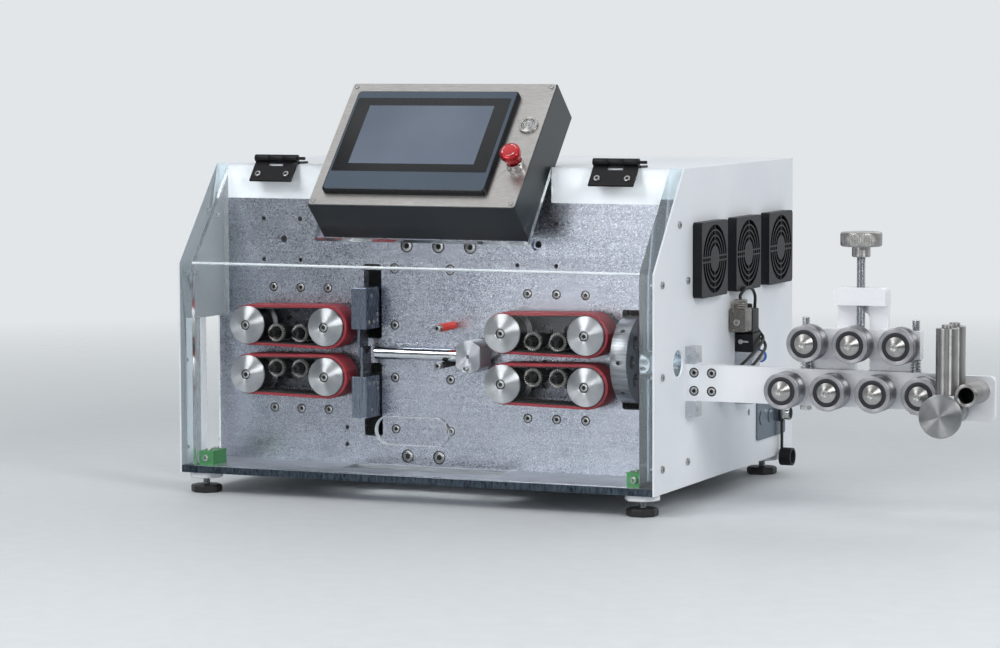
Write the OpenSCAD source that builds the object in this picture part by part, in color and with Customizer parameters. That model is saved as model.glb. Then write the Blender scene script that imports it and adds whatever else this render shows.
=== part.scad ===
// Wire cutting and stripping machine with a hinged clear guard and a wire straightener.
// Lengths are in millimetres. X runs along the wire towards the inlet, Y to the back, Z up.
// The origin is on the floor under the middle of the machine.

/* [Housing] */
// Width over the two side panels
case_w = 580; // [560:1:640]
// Depth of the side panels
case_d = 460; // [450:1:560]
// Height of the side panels above the underside of the base
case_h = 350; // [345:1:380]
// Thickness of the bent sheet panels
panel_t = 2; // [1.5:0.1:3]
// Thickness of the base plate
base_t = 8; // [6:0.5:12]
// Height of the edge where the front of the guard meets its sloping part
ridge_z = 240; // [225:1:255]
// Depth at which the sloping edge reaches the top
slope_y = 92; // [89:0.5:92]
// Distance from the top down to the lower edge of the white strip above the front plate
flange_z = 41; // [38:1:50]
// Front edge of the wire outlet in the left panel
outlet_y = 63; // [55:1:66]
// Top edge of the wire outlet in the left panel
outlet_z = 173; // [165:1:180]
// Front edge of the outlet in the left end plate of the guard
outlet_inner_y = 21; // [18:1:30]

/* [Front plate] */
// Depth of the face of the front plate behind the front edge
plate_y = 96; // [95:0.5:100]
// Thickness of the front plate
plate_t = 12; // [11:0.5:16]
// Distance from the top down to the top edge of the front plate
plate_top = 32; // [25:1:35]

/* [Wire line] */
// Depth of the wire line behind the front edge
wire_y = 73; // [72:0.5:74]
// Height of the wire line above the underside of the base
wire_z = 138; // [134:0.5:142]
// Radius of the wire inlet in the right panel
inlet_r = 15; // [10:0.5:17]

/* [Feed units] */
// Middle of the left feed unit from the left face
feed_left_x = 109; // [105:0.5:110]
// Middle of the right feed unit from the right face
feed_right_in = 152; // [150:0.5:158]
// Distance between the two belt pulleys of a unit
pulley_span = 100; // [94:0.5:102]
// Gap between the upper and the lower belt at rest
feed_gap = 5.5; // [5:0.1:8]
// Width of a feed belt
belt_w = 30.4; // [24:0.2:31]
// Thickness of a feed belt with its teeth
belt_t = 6; // [4:0.1:6.5]
// Radius of a belt pulley under the belt
pulley_r = 19.2; // [17:0.1:20]
// Radius of the cone cap and the rear flange of a pulley
cap_r = 22.5; // [21:0.1:23]
// Height of the cone of a cap
cap_h = 4.8; // [3:0.1:7]
// Radius of a pulley shaft
shaft_r = 8; // [6:0.1:9]
// Radius of an idler over its teeth
idler_r = 11; // [9:0.1:11.5]
// Number of teeth of an idler
idler_teeth = 24; // [18:1:28]
// Distance between the two idlers of a unit
idler_span = 30; // [26:0.5:34]
// Radius of an idler shaft
idler_shaft_r = 5; // [4:0.1:5.5]
// Thickness of the bearing block behind the front plate
bearing_t = 30; // [24:0.5:36]
// Travel of a unit away from the wire line
feed_open = 10; // [4:0.5:10]

/* [Cutter] */
// Middle of the blade holders from the left face
cutter_x = 200; // [199:0.5:203]
// Width of a blade holder
holder_w = 18.8; // [14:0.2:20]
// Height of a blade holder
holder_h = 47; // [40:0.5:50]
// Distance from the wire line to the near end of a holder
holder_off = 27; // [26:0.5:30]
// Depth of the front face of a holder
holder_y = 59; // [56:0.5:60]
// Thickness of a blade
blade_t = 3; // [2:0.1:4]
// Width of a blade across its edges
blade_w = 22; // [18:0.5:24]
// Height of half the diamond opening between the blades at rest
blade_open = 4.5; // [3:0.1:5]
// Travel of a holder away from the wire line
cut_open = 20; // [10:0.5:20]
// Travel of a holder towards the wire line
cut_close = 6; // [5:0.1:7]

/* [Guide tube] */
// Outer radius of the guide tube
tube_r = 6.75; // [6:0.05:7.5]
// Bore radius of the guide tube
tube_bore_r = 5; // [3.5:0.1:5.2]
// Radius of the round guide block
guide_r = 18.4; // [17:0.1:19]
// Half width of the guide block between its flats
guide_flat = 14.8; // [13:0.1:16]
// Distance from the pulleys of the right unit back to the guide block
guide_back = 48.4; // [48:0.1:52]
// Distance from the guide block along the wire to its pivot
pivot_dx = 23; // [20:0.5:24]
// Height of the pivot above the wire line
pivot_dz = 12; // [10:0.5:13]
// Length of the stop posts in front of the plate
post_len = 56; // [40:0.5:60]

/* [Guide turret] */
// Distance from the right face to the turret
turret_in = 53; // [50:0.5:55]
// Width of the turret
turret_w = 19; // [15:0.5:20]
// Radius of the turret
turret_r = 48.4; // [46:0.2:49]
// Radius of the guide bores
guide_bore_r = 7.5; // [5:0.1:8.5]
// Number of guide bores
guide_bores = 8; // [6:1:9]

/* [Guard] */
// Thickness of the clear end plates
end_t = 15; // [10:0.5:15]
// Thickness of the clear front and sloping panels
clear_t = 8; // [5:0.5:10]
// Width of the finger slot
grip_w = 90; // [70:1:120]
// Height of the finger slot
grip_h = 32.4; // [24:0.2:36]
// Height of the middle of the finger slot
grip_z = 58.8; // [50:0.2:70]
// Length of a hinge
hinge_w = 54; // [40:1:60]
// Radius of a hinge knuckle
hinge_r = 4.2; // [3.5:0.1:4.5]
// Distance from each side to the near end of a hinge
hinge_in = 53; // [45:1:60]

/* [Control box] */
// Width of the control box
box_w = 252; // [240:1:254]
// Height of the control box along its face
box_h = 181; // [176:1:186]
// Depth of the control box
box_t = 56; // [50:1:57]
// Distance from the middle of the case to the middle of the control box
box_x = 1; // [-2:0.5:3]
// Tilt of the face from upright
box_tilt = 42.6; // [41:0.1:44]
// Width of the screen frame
frame_w = 200; // [190:1:204]
// Height of the screen frame
frame_h = 148; // [140:1:152]
// Width of the screen
screen_w = 154; // [140:1:160]
// Height of the screen
screen_h = 86; // [78:1:92]
// Radius of the power button
power_r = 8; // [6:0.1:9]
// Radius of the stop button
stop_r = 11.7; // [10:0.1:13]

/* [Straightener] */
// Depth of the front face of the arm
arm_y = 94.4; // [94:0.1:97]
// Thickness of the arm
arm_t = 12.6; // [11:0.1:16]
// Height of the arm
arm_h = 40; // [36:0.5:42]
// Distance from the wire line down to the top of the arm
arm_drop = 2.5; // [2:0.1:4]
// Length of the arm
arm_len = 288; // [286:0.5:289]
// Radius of a straightening roller
roller_r = 20; // [17:0.2:20.5]
// Width of a straightening roller
roller_w = 24; // [20:0.2:24]
// Distance between rollers of one row
roller_pitch = 51; // [50:0.1:52]
// Distance from the right panel to the first lower roller
roller_in = 122.6; // [120:0.2:124]
// Distance from the wire line down to the axes of the lower row
lower_drop = 24.5; // [24:0.1:26]
// Distance from the wire line up to the axes of the upper row
upper_rise = 27.3; // [27:0.1:28]
// Radius of the guide pins
pin_r = 4; // [3:0.1:4.5]
// Radius of the pressure screw
screw_r = 5; // [4:0.1:6]
// Pitch of the pressure screw
screw_pitch = 1.5; // [1:0.25:2]
// Radius of the hand knob
knob_r = 22.5; // [16:0.5:25]
// Height of the hand knob
knob_h = 15.5; // [10:0.5:20]

/* [Inlet rollers] */
// Distance from the right panel to the upright rollers
cage_in = 307; // [306:0.5:309]
// Radius of the upright rollers
cage_r = 11.7; // [11:0.1:12]
// Gap between the upright rollers
cage_gap = 6; // [5:0.5:12]
// Length of the upright rollers
cage_len = 70; // [55:1:80]
// Radius of the hollow roller
hollow_r = 12.3; // [11:0.1:12.4]
// Bore radius of the hollow roller
hollow_bore_r = 8.6; // [7:0.1:9]

/* [Side fittings] */
// Width of a fan guard
fan_w = 84; // [78:1:90]
// Thickness of a fan guard
fan_t = 11; // [8:0.5:14]
// Distance between fan guards
fan_pitch = 113; // [112:0.5:116]
// Height of the middle of the fans
fan_z = 248; // [240:0.5:255]
// Radius of the air port
air_r = 3; // [2:0.1:3.5]

/* [Feet] */
// Height of the base above the floor
foot_h = 24; // [20:0.5:34]
// Radius over the corners of a foot pad
pad_r = 18; // [14:0.5:20]
// Height of a foot pad
pad_h = 9; // [6:0.5:10]
// Radius of the lobed lock nut
nut_r = 20; // [16:0.5:20]
// Distance of a foot from the front and the sides
foot_in = 22; // [21:0.5:30]
// Distance of a rear foot from the back
foot_back = 45; // [30:0.5:60]

/* [Fits] */
// Radial running clearance of shafts and pins
run_c = 0.05; // [0.02:0.01:0.09]
// Gap between pieces that pass each other
pass_c = 0.4; // [0.3:0.05:0.5]
// Gap between fixed pieces that are bolted or set together
seat_c = 0.05; // [0.02:0.01:0.1]

/* [Hidden] */
$fn = 48;

white = [0.90, 0.91, 0.92];
alu = [0.72, 0.73, 0.74];
steel = [0.60, 0.61, 0.63];
chrome = [0.80, 0.81, 0.83];
black = [0.08, 0.08, 0.09];
slate = [0.24, 0.25, 0.28];
clear = [0.85, 0.93, 0.96, 0.30];

in_l = panel_t;
in_r = case_w - panel_t;
plate_back = plate_y + plate_t;
front_z1 = case_h - plate_top;
flange_z0 = case_h - flange_z;
screw_head = 1.8;
chute_x0 = cutter_x - 18;
chute_x1 = cutter_x + 172;
chute_y0 = wire_y - 25;
lift_w = 56.6;
lift_len = 56;
slope_a = atan2(slope_y, case_h - ridge_z);
slope_l = sqrt(slope_y * slope_y + (case_h - ridge_z) * (case_h - ridge_z));
hinge_y = slope_y;
hinge_z = case_h + hinge_r / sin(slope_a);

feed_right_x = case_w - feed_right_in;
feed_dz = feed_gap / 2 + belt_t + pass_c + pulley_r;
belt_in_r = pulley_r + pass_c;
idler_dz = feed_gap / 2 + belt_t + pass_c + idler_r;
belt_y0 = wire_y - belt_w / 2;
belt_y1 = wire_y + belt_w / 2;
flange_t = 1.8;
rim_t = 2;
bearing_w = pulley_span + 2 * shaft_r + 12;
bearing_in = 8;
bearing_out = feed_dz + shaft_r + 8;
rail_w = 8;
rail_reach = bearing_out + feed_open + 4;

slot_side = 1.7;
slot_near = holder_off - cut_close - 7;
slot_far = holder_off + holder_h + cut_open + 4;

turret_x1 = case_w - turret_in;
turret_x0 = turret_x1 - turret_w;
turret_y = plate_y + plate_t / 2;
turret_bore_c = turret_y - wire_y;
turret_side = 2;
turret_axle_r = 4;
axle_reach = 12;

guide_x = feed_right_x - pulley_span / 2 - guide_back;
guide_y0 = wire_y - 13;
link_y0 = belt_y1 + pass_c + flange_t + pass_c;
link_y1 = plate_y - pass_c;
tube_x0 = cutter_x + holder_w / 2 + 5;
pivot_x = guide_x + pivot_dx;
pivot_z = wire_z + pivot_dz;
pivot_r = 6;
post_x = guide_x - 24.6;
rest_post_r = 3.5;
top_post_r = 4.5;
rest_post_z = wire_z - tube_r - pass_c - rest_post_r;
top_post_z = wire_z + tube_r + 23.5;

box_x0 = case_w / 2 + box_x - box_w / 2;
box_y = slope_y - 90.7;
box_z = case_h - 42;
box_gap = 5;
frame_x = 13.7;
frame_v = 16;
screen_x = frame_x + (frame_w - screen_w) / 2 - 1;
screen_v = frame_v + 38.6;
power_x = box_w - 17;
power_v = 118.3;
stop_x = box_w - 15.2;
stop_v = 60;
notch_l = slope_l - 104;
cover_x0 = in_l + end_t + pass_c;
cover_x1 = in_r - end_t - pass_c;
cover_back = slope_y - 0.5;
cover_z0 = base_t + 0.5;
mitre_z = ridge_z - clear_t * tan(slope_a / 2);
slope_in = (cover_back - clear_t * cos(slope_a)) / sin(slope_a);

arm_z1 = wire_z - arm_drop;
arm_z0 = arm_z1 - arm_h;
arm_yc = arm_y + arm_t / 2;
arm_yb = arm_y + arm_t;
arm_x1 = case_w + arm_len;
back_t = 8;
back_y = arm_yb + back_t;
roller_y0 = wire_y - roller_w / 2;
roller_y1 = wire_y + roller_w / 2;
low_z = wire_z - lower_drop;
up_z = wire_z + upper_rise;
row_x = case_w + roller_in;
slide_x = row_x + 1.5 * roller_pitch;
slide_hw = 68;
slide_z0 = wire_z + 11.3;
slide_z1 = wire_z + 41.8;
pin_dx = 61.7;
pin_top = wire_z + 53.5;
bridge_hw = 29;
bridge_z0 = wire_z + 67.5;
bridge_z1 = wire_z + 87;
axle_r = 8;
axle_end_r = 6;
dome_r = 10.3;
dome_s = 14;
collar_z0 = bridge_z1 + 33;
knob_z0 = collar_z0 + 11;
spring_wire_r = 0.65;
spring_r = pin_r + spring_wire_r + 0.9;
spring_turns = 4.5;
spring_z0 = arm_z1 + spring_wire_r + 0.05;
spring_z1 = slide_z0 - spring_wire_r - pass_c;

cage_x = case_w + cage_in;
cage_dy = cage_gap / 2 + cage_r;
shelf_z1 = wire_z - 21;
shelf_z0 = shelf_z1 - 7;
cage_z0 = shelf_z1 + pass_c;
cage_z1 = cage_z0 + cage_len;
hollow_x = cage_x + cage_r + hollow_r + pass_c;
shelf_x0 = row_x + 3 * roller_pitch + roller_r + pass_c;
shelf_x1 = hollow_x - hollow_r - pass_c;
shelf_y0 = wire_y - cage_dy - cage_r - 1.3;
disc_x = cage_x - 1.5;
disc_z = shelf_z0 - 14.5;
disc_y1 = shelf_y0 - 2 * pass_c;
disc_y0 = disc_y1 - 8;
disc_body_r = 12.5;
disc_r = 23;
hollow_z = wire_z - 20;
hollow_y0 = disc_y1 + 2 * pass_c;
cage_end = hollow_x + hollow_r + 2;

fan_y = case_d - 74;
fan_count = 1 + floor((fan_y - plate_back - fan_w / 2) / fan_pitch);
valve_y = 256;
valve_z = 136;
conn_y = case_d - 80;
conn_z = 50.5;
gland_y = 210;
gland_z = 84;

x_mid = (cage_end - screw_head) / 2;
y_mid = case_d / 2;

module place() translate([-x_mid, -y_mid, foot_h]) children();
module block(a, b) translate(a) cube(b - a);
module rod_x(r, x0, x1, y, z) translate([x0, y, z]) rotate([0, 90, 0]) cylinder(r = r, h = x1 - x0);
module rod_y(r, y0, y1, x, z) translate([x, y0, z]) rotate([-90, 0, 0]) cylinder(r = r, h = y1 - y0);
module rod_z(r, z0, z1, x, y) translate([x, y, z0]) cylinder(r = r, h = z1 - z0);
module side_sheet(x0, t) translate([x0, 0, 0]) rotate([90, 0, 90]) linear_extrude(t) children();
module face_sheet(y0, t) translate([0, y0 + t, 0]) rotate([90, 0, 0]) linear_extrude(t) children();
module on_face() translate([box_x0, box_y, box_z]) rotate([90 - box_tilt, 0, 0]) children();
module on_slope() translate([0, 0, ridge_z]) rotate([90 - slope_a, 0, 0]) children();

module round_rect(w, h, r) {
  square([w, h - 2 * r], center = true);
  square([w - 2 * r, h], center = true);
  for (sx = [-1, 1]) for (sy = [-1, 1]) translate([sx * (w / 2 - r), sy * (h / 2 - r)]) circle(r = r);
}

module upright_slot(w, h) {
  square([w, h - w], center = true);
  for (s = [-1, 1]) translate([0, s * (h - w) / 2]) circle(r = w / 2);
}

module level_slot(w, h) rotate(90) upright_slot(h, w);

// Screw with a hexagon socket, head towards -Y
module socket_screw(x, y0, z, head_r, head_h, shank_r, y1) difference() {
  union() {
    rod_y(head_r, y0, y0 + head_h, x, z);
    rod_y(shank_r, y0 + head_h - 1, y1, x, z);
  }
  translate([x, y0 - 1, z]) rotate([-90, 0, 0]) cylinder(r = head_r * 0.55, h = head_h * 0.55 + 1, $fn = 6);
}

// Screw positions on the front plate
feed_screws = [for (fx = [feed_left_x, feed_right_x]) for (i = [-1, 0, 1]) for (s = [-1, 1])
  [fx - 1 + 35 * i, wire_z + 70 * s]];
mid_screws = [
  [cutter_x + 27.7, wire_z + 30],
  [cutter_x + 27.7, wire_z - 30],
  [cutter_x + 97, wire_z - 30],
  [cutter_x + 27.7, wire_z + 94],
  [cutter_x + 97, wire_z + 94],
  [cutter_x + 27.7, wire_z - 89],
  [cutter_x + 97, wire_z - 89]];
plate_screws = concat(feed_screws, mid_screws);
big_screws = [
  [cutter_x + 43, wire_z + 119.5],
  [cutter_x + 82.5, wire_z + 119.5],
  [cutter_x + 122, wire_z + 119.5],
  [cutter_x + 43, wire_z - 119.5],
  [cutter_x + 82.5, wire_z - 119.5]];
lift_motors = [[feed_left_x - 24.5, wire_z + 124], [feed_right_x - 24.7, wire_z + 124]];
motor_bolt = 23.57;
// Screw positions on the side panels as depth and height
end_screws = [[76, ridge_z + 49.5], [23, ridge_z - 13], [24, wire_z - 11], [24, base_t + 19]];
edge_screws = [[plate_y + plate_t / 2, ridge_z - 13], [plate_y + plate_t / 2, base_t + 19]];

module panel_shape() polygon([[0, 0], [case_d, 0], [case_d, case_h], [slope_y, case_h], [0, ridge_z]]);

module base_plate() color(steel) place() difference() {
  block([in_l, 0, 0], [in_r, case_d, base_t]);
  block([chute_x0, chute_y0, -1], [chute_x1, plate_y - 6, base_t + 1]);
  for (p = foot_places) rod_z(4.1, -1, base_t - 1.5, p[0], p[1]);
}

foot_places = [[foot_in, foot_in], [case_w - foot_in, foot_in],
  [foot_in, case_d - foot_back], [case_w - foot_in, case_d - foot_back]];

module levelling_feet() color(black) place() for (p = foot_places) translate([p[0], p[1], 0]) {
  translate([0, 0, -foot_h]) cylinder(r = pad_r, h = pad_h, $fn = 8);
  rod_z(11, pad_h - foot_h, pad_h - foot_h + 2, 0, 0);
  rod_z(4, pad_h - foot_h + 2, base_t - 2, 0, 0);
  difference() {
    rod_z(nut_r, -7, 0, 0, 0);
    rod_z(4.1, -8, 1, 0, 0);
    for (a = [0 : 45 : 315]) rotate(a + 22.5) rod_z(5, -8, 1, nut_r + 2.4, 0);
  }
}

module left_side_panel() color(white) place() difference() {
  side_sheet(0, panel_t) difference() {
    panel_shape();
    translate([outlet_y, base_t]) square([plate_y - outlet_y, outlet_z - base_t]);
  }
  for (p = concat(end_screws, edge_screws)) rod_x(2.6, -1, panel_t + 1, p[0], p[1]);
}

module right_side_panel() color(white) place() difference() {
  side_sheet(in_r, panel_t) difference() {
    panel_shape();
    for (i = [0 : fan_count - 1]) translate([fan_y - i * fan_pitch, fan_z]) circle(r = fan_w / 2 - 6);
  }
  rod_x(inlet_r, in_r - 1, case_w + 1, wire_y, wire_z);
  rod_x(4, in_r - 1, case_w + 1, valve_y + 50, 61);
  for (p = concat(end_screws, edge_screws)) rod_x(2.6, in_r - 1, case_w + 1, p[0], p[1]);
}

module top_rear_cover() color(white) place() difference() {
  union() {
    block([in_l, plate_y - panel_t, flange_z0], [in_r, plate_y, case_h]);
    block([in_l, plate_y - panel_t, case_h - panel_t], [in_r, case_d, case_h]);
    block([in_l, case_d - panel_t, base_t], [in_r, case_d, case_h]);
  }
  block([box_x0 - box_gap, 0, flange_z0 - 1], [box_x0 + box_w + box_gap, plate_y + 24, case_h + 1]);
  for (i = [0 : 9]) for (s = [0, 1]) translate([100 + s * 230, 0, 215 + i * 11])
    face_sheet(case_d - panel_t - 1, panel_t + 2) translate([75, 0]) level_slot(150, 5);
  block([80, case_d - panel_t - 1, 60], [108, case_d + 1, 80]);
}

module front_plate_cuts() {
  for (s = [-1, 1]) translate([cutter_x, wire_z + s * (slot_near + slot_far) / 2])
    round_rect(holder_w + 2 * slot_side, slot_far - slot_near, 3);
  translate([(turret_x0 + turret_x1) / 2, wire_z])
    round_rect(turret_w + 2 * turret_side, 2 * turret_r + 14, 3);
  for (fx = [feed_left_x, feed_right_x]) for (s = [-1, 1]) for (e = [-1, 1]) {
    translate([fx + e * pulley_span / 2, wire_z + s * feed_dz])
      upright_slot(2 * shaft_r + 3, 2 * shaft_r + 3 + 2 * feed_open);
    translate([fx + e * idler_span / 2, wire_z + s * idler_dz])
      upright_slot(2 * idler_shaft_r + 2.7, 2 * idler_shaft_r + 3 + 2 * feed_open);
  }
  translate([pivot_x, pivot_z]) circle(r = pivot_r);
  for (p = plate_screws) translate(p) circle(r = 3.2);
  for (p = big_screws) translate(p) circle(r = 4.2);
  for (m = lift_motors) translate(m) {
    circle(r = 4);
    for (sx = [-1, 1]) for (sy = [-1, 1]) translate([sx * motor_bolt, sy * motor_bolt]) circle(r = 2.5);
  }
  for (v = [28.8, 48.5]) translate([cutter_x - 33.6, v]) circle(r = 2.5);
}

module front_plate() color(alu) place() {
  difference() {
    face_sheet(plate_y, plate_t) difference() {
      translate([in_l, base_t]) square([in_r - in_l, front_z1 - base_t]);
      front_plate_cuts();
    }
    for (p = plate_screws) rod_y(5.2, plate_y - 1, plate_y + 6, p[0], p[1]);
    for (p = big_screws) rod_y(7.6, plate_y - 1, plate_y + 8.6, p[0], p[1]);
    for (m = lift_motors) rod_y(6.5, plate_y - 1, plate_y + 5, m[0], m[1]);
    rod_x(turret_axle_r + run_c, turret_x0 - turret_side - axle_reach - 1,
      turret_x1 + turret_side + axle_reach + 1, turret_y, wire_z);
    for (x = [in_l - 1, in_r - 9]) for (p = edge_screws) rod_x(2.6, x, x + 10, p[0], p[1]);
  }
  for (fx = [feed_left_x, feed_right_x]) for (e = [-1, 1])
    translate([fx + e * (bearing_w / 2 + pass_c + rail_w / 2), 0, 0])
      block([-rail_w / 2, plate_back, wire_z - rail_reach],
        [rail_w / 2, plate_back + bearing_t, wire_z + rail_reach]);
}

module stop_post(r, z) {
  rod_y(3, plate_y - post_len, plate_y, post_x, z);
  difference() {
    rod_y(r, plate_y - post_len + 12, plate_y, post_x, z);
    rod_y(3 + seat_c, plate_y - post_len + 11, plate_y + 1, post_x, z);
  }
}

module panel_screw(x, y, z, inward) {
  rod_x(4, inward > 0 ? x - screw_head : x, inward > 0 ? x : x + screw_head, y, z);
  rod_x(2.5, inward > 0 ? x - 1 : x - 9, inward > 0 ? x + 9 : x + 1, y, z);
}

module screws_and_stops() color(steel) place() {
  for (p = plate_screws) socket_screw(p[0], plate_y + 0.8, p[1], 4.9, 5.2, 3, plate_back);
  for (p = big_screws) socket_screw(p[0], plate_y + 0.8, p[1], 7.2, 7.8, 4, plate_back);
  stop_post(rest_post_r, rest_post_z);
  stop_post(top_post_r, top_post_z);
  for (p = concat(end_screws, edge_screws)) {
    panel_screw(0, p[0], p[1], 1);
    panel_screw(case_w, p[0], p[1], -1);
  }
}

module cover_catches() color([0.20, 0.50, 0.30]) place()
  for (x = [cover_x0 + 1, cover_x1 - 19]) translate([x, 0, base_t]) {
    block([0, 13, 0], [18, 45, 16]);
    for (y = [20, 38]) rod_z(3, 16, 18, 9, y);
    rod_y(3.5, 10, 13, 9, 8);
  }

module control_box() color(slate) place() {
  on_face() difference() {
    block([0, 0, -box_t], [box_w, box_h, 0]);
    block([2, 2, 2 - box_t], [box_w - 2, box_h - 2, 1]);
  }
  back_z = box_z - box_t * sin(box_tilt);
  foot_v = (case_h - back_z) / cos(box_tilt);
  on_face() block([50, foot_v + 3.2, -box_t - 3], [box_w - 50, foot_v + 55, -box_t]);
  foot_y = box_y + box_t * cos(box_tilt) + foot_v * sin(box_tilt);
  block([box_x0 + 50, foot_y + 9, case_h], [box_x0 + box_w - 50, foot_y + 50, case_h + 3]);
  for (x = [box_x0 + 50, box_x0 + box_w - 53]) side_sheet(x, 3)
    polygon([[foot_y + 9, case_h + 3], [foot_y + 50, case_h + 3],
      [foot_y + 50, case_h + 10], [foot_y + 44, case_h + 40],
      [foot_y + 44.2 * tan(box_tilt) * 0.93 + 4.2, case_h + 40], [foot_y + 9, case_h + 6.4]]);
}

module control_faceplate() color(chrome) place() on_face() {
  difference() {
    linear_extrude(1.5) difference() {
      translate([box_w / 2, box_h / 2]) round_rect(box_w - 1, box_h - 1, 4);
      translate([frame_x + 6, frame_v + 6]) square([frame_w - 12, frame_h - 12]);
      translate([power_x, power_v]) circle(r = power_r + 1.2);
      translate([stop_x, stop_v]) circle(r = 7.2);
    }
  }
  translate([power_x, power_v, 0]) difference() {
    union() {
      translate([0, 0, 1.5]) cylinder(r = power_r + 3, h = 3);
      translate([0, 0, -12]) cylinder(r = power_r + 1, h = 14);
    }
    translate([0, 0, -13]) cylinder(r = power_r + run_c, h = 20);
  }
  translate([stop_x, stop_v, 0]) difference() {
    union() {
      translate([0, 0, 1.5]) cylinder(r = 9.8, h = 9);
      translate([0, 0, -14]) cylinder(r = 7, h = 16);
    }
    translate([0, 0, -15]) cylinder(r = 5 + run_c, h = 30);
  }
  for (x = [5.5, box_w - 5.5]) for (v = [5.5, box_h - 5.5])
    translate([x, v, 1.5]) cylinder(r = 2.6, h = 1.2);
}

module power_button() color(chrome) place() on_face() translate([power_x, power_v, 0])
  rotate_extrude() polygon([[0, -11], [power_r, -11], [power_r, 3.2], [power_r - 1, 4], [0, 4]]);

module estop_button() color([0.75, 0.10, 0.12]) place() on_face() translate([stop_x, stop_v, 0])
  rotate_extrude() polygon([[0, -10], [5, -10], [5, 15], [stop_r - 2.2, 15], [stop_r - 1.8, 19],
    [stop_r - 0.6, 20], [stop_r, 21.5], [stop_r, 25.5], [stop_r - 1.4, 28], [0, 28.6]]);

module touchscreen() color([0.35, 0.38, 0.42]) place() on_face() translate([frame_x, frame_v, 0]) {
  difference() {
    union() {
      translate([0, 0, 1.5]) linear_extrude(6)
        translate([frame_w / 2, frame_h / 2]) round_rect(frame_w, frame_h, 5);
      translate([0, 0, 7.5]) linear_extrude(1.5)
        translate([frame_w / 2, frame_h / 2]) round_rect(frame_w - 4, frame_h - 4, 4);
      block([8, 8, -30], [frame_w - 8, frame_h - 8, 2]);
    }
    translate([screen_x - frame_x, screen_v - frame_v, 8.4]) cube([screen_w, screen_h, 2]);
  }
}

module hinge_places() for (x = [hinge_in, case_w - hinge_in - hinge_w]) translate([x, 0, 0]) children();

module hinge_fixed_leaves() color(black) place() hinge_places() {
  difference() {
    union() {
      block([0, hinge_y + hinge_r + 1, case_h], [hinge_w, hinge_y + 26, case_h + 2.5]);
      block([hinge_w / 3, hinge_y, case_h], [2 * hinge_w / 3, hinge_y + hinge_r + 2, case_h + 2.5]);
      block([hinge_w / 3, hinge_y, case_h + 2], [2 * hinge_w / 3, hinge_y + hinge_r, hinge_z]);
      rod_x(hinge_r, hinge_w / 3, 2 * hinge_w / 3, hinge_y, hinge_z);
    }
    block([-1, 0, case_h - 9], [hinge_w + 1, hinge_y + 20, case_h]);
  }
  rod_x(1.8, 0, hinge_w + 9, hinge_y, hinge_z);
}

module leaf_profile(from, low, length, thick) translate([0, ridge_z]) rotate(90 - slope_a)
  translate([slope_l + from, low]) square([length, thick]);

module hinge_moving_leaves() color(black) place() hinge_places() {
  side_sheet(0.3, hinge_w - 0.6) leaf_profile(-26, 0, 26 - hinge_r - 0.6, 2.5);
  for (x = [0, 2 * hinge_w / 3 + pass_c]) side_sheet(x, hinge_w / 3 - pass_c) difference() {
    union() {
      translate([hinge_y, hinge_z]) circle(r = hinge_r);
      leaf_profile(-12, 0.8, 15.2, 1.3);
    }
    translate([hinge_y, hinge_z]) circle(r = 1.8 + run_c);
  }
  for (x = [9, hinge_w - 9]) on_slope() translate([x, slope_l - 17, 1.5]) cylinder(r = 3.6, h = 2.6);
}

module guard_end_plates() color(clear) place() {
  difference() {
    side_sheet(in_l, end_t) difference() {
      polygon([[0, base_t], [slope_y, base_t], [slope_y, case_h], [0, ridge_z]]);
      translate([outlet_inner_y, base_t - 1]) square([slope_y, outlet_z + 4 - base_t]);
    }
    for (p = end_screws) rod_x(2.6, in_l - 1, in_l + 8, p[0], p[1]);
  }
  difference() {
    side_sheet(in_r - end_t, end_t)
      polygon([[0, base_t], [slope_y, base_t], [slope_y, case_h], [0, ridge_z]]);
    rod_x(inlet_r + 1, in_r - end_t - 1, in_r + 1, wire_y, wire_z);
    for (p = end_screws) rod_x(2.6, in_r - 8, in_r + 1, p[0], p[1]);
  }
}

module guard_cover() color(clear) place() {
  difference() {
    side_sheet(cover_x0, cover_x1 - cover_x0)
      polygon([[0, cover_z0], [clear_t, cover_z0], [clear_t, mitre_z], [0, ridge_z]]);
    face_sheet(-1, clear_t + 2) translate([case_w / 2 + 2, grip_z]) level_slot(grip_w, grip_h);
  }
  difference() {
    side_sheet(cover_x0, cover_x1 - cover_x0)
      polygon([[0, ridge_z], [clear_t, mitre_z],
        [cover_back, ridge_z + slope_in * cos(slope_a) - clear_t * sin(slope_a)],
        [cover_back, ridge_z + cover_back / tan(slope_a)]]);
    on_slope() block([box_x0 - box_gap, notch_l, -clear_t - 20],
      [box_x0 + box_w + box_gap, slope_l + 20, 20]);
  }
}

// Guard, filter and frame of one fan, set in the right panel
module fan_unit() {
  difference() {
    side_sheet(case_w, fan_t) round_rect(fan_w, fan_w, 5);
    rod_x(fan_w / 2 - 4, case_w - 1, case_w + fan_t - 2, 0, 0);
    side_sheet(case_w + fan_t - 3, 4) difference() {
      circle(r = fan_w / 2 - 4);
      circle(r = 14.5);
      for (r = [19.5, 25.8, 32.2]) difference() {
        circle(r = r + 0.9);
        circle(r = r - 0.9);
      }
      for (v = [-2.7, 2.7]) translate([0, v]) square([fan_w, 1.7], center = true);
      square([1.8, fan_w], center = true);
    }
  }
  rod_x(fan_w / 2 - 4.2, case_w + 3, case_w + 6, 0, 0);
  difference() {
    side_sheet(in_r - 25, 25) round_rect(fan_w - 4, fan_w - 4, 4);
    side_sheet(in_r - 26, 27) difference() {
      circle(r = fan_w / 2 - 6);
      circle(r = 17);
      for (a = [0, 90]) rotate(a) square([fan_w, 5], center = true);
    }
  }
}

module fan_units() color(black) place()
  for (i = [0 : fan_count - 1]) translate([0, fan_y - i * fan_pitch, fan_z]) fan_unit();

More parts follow.
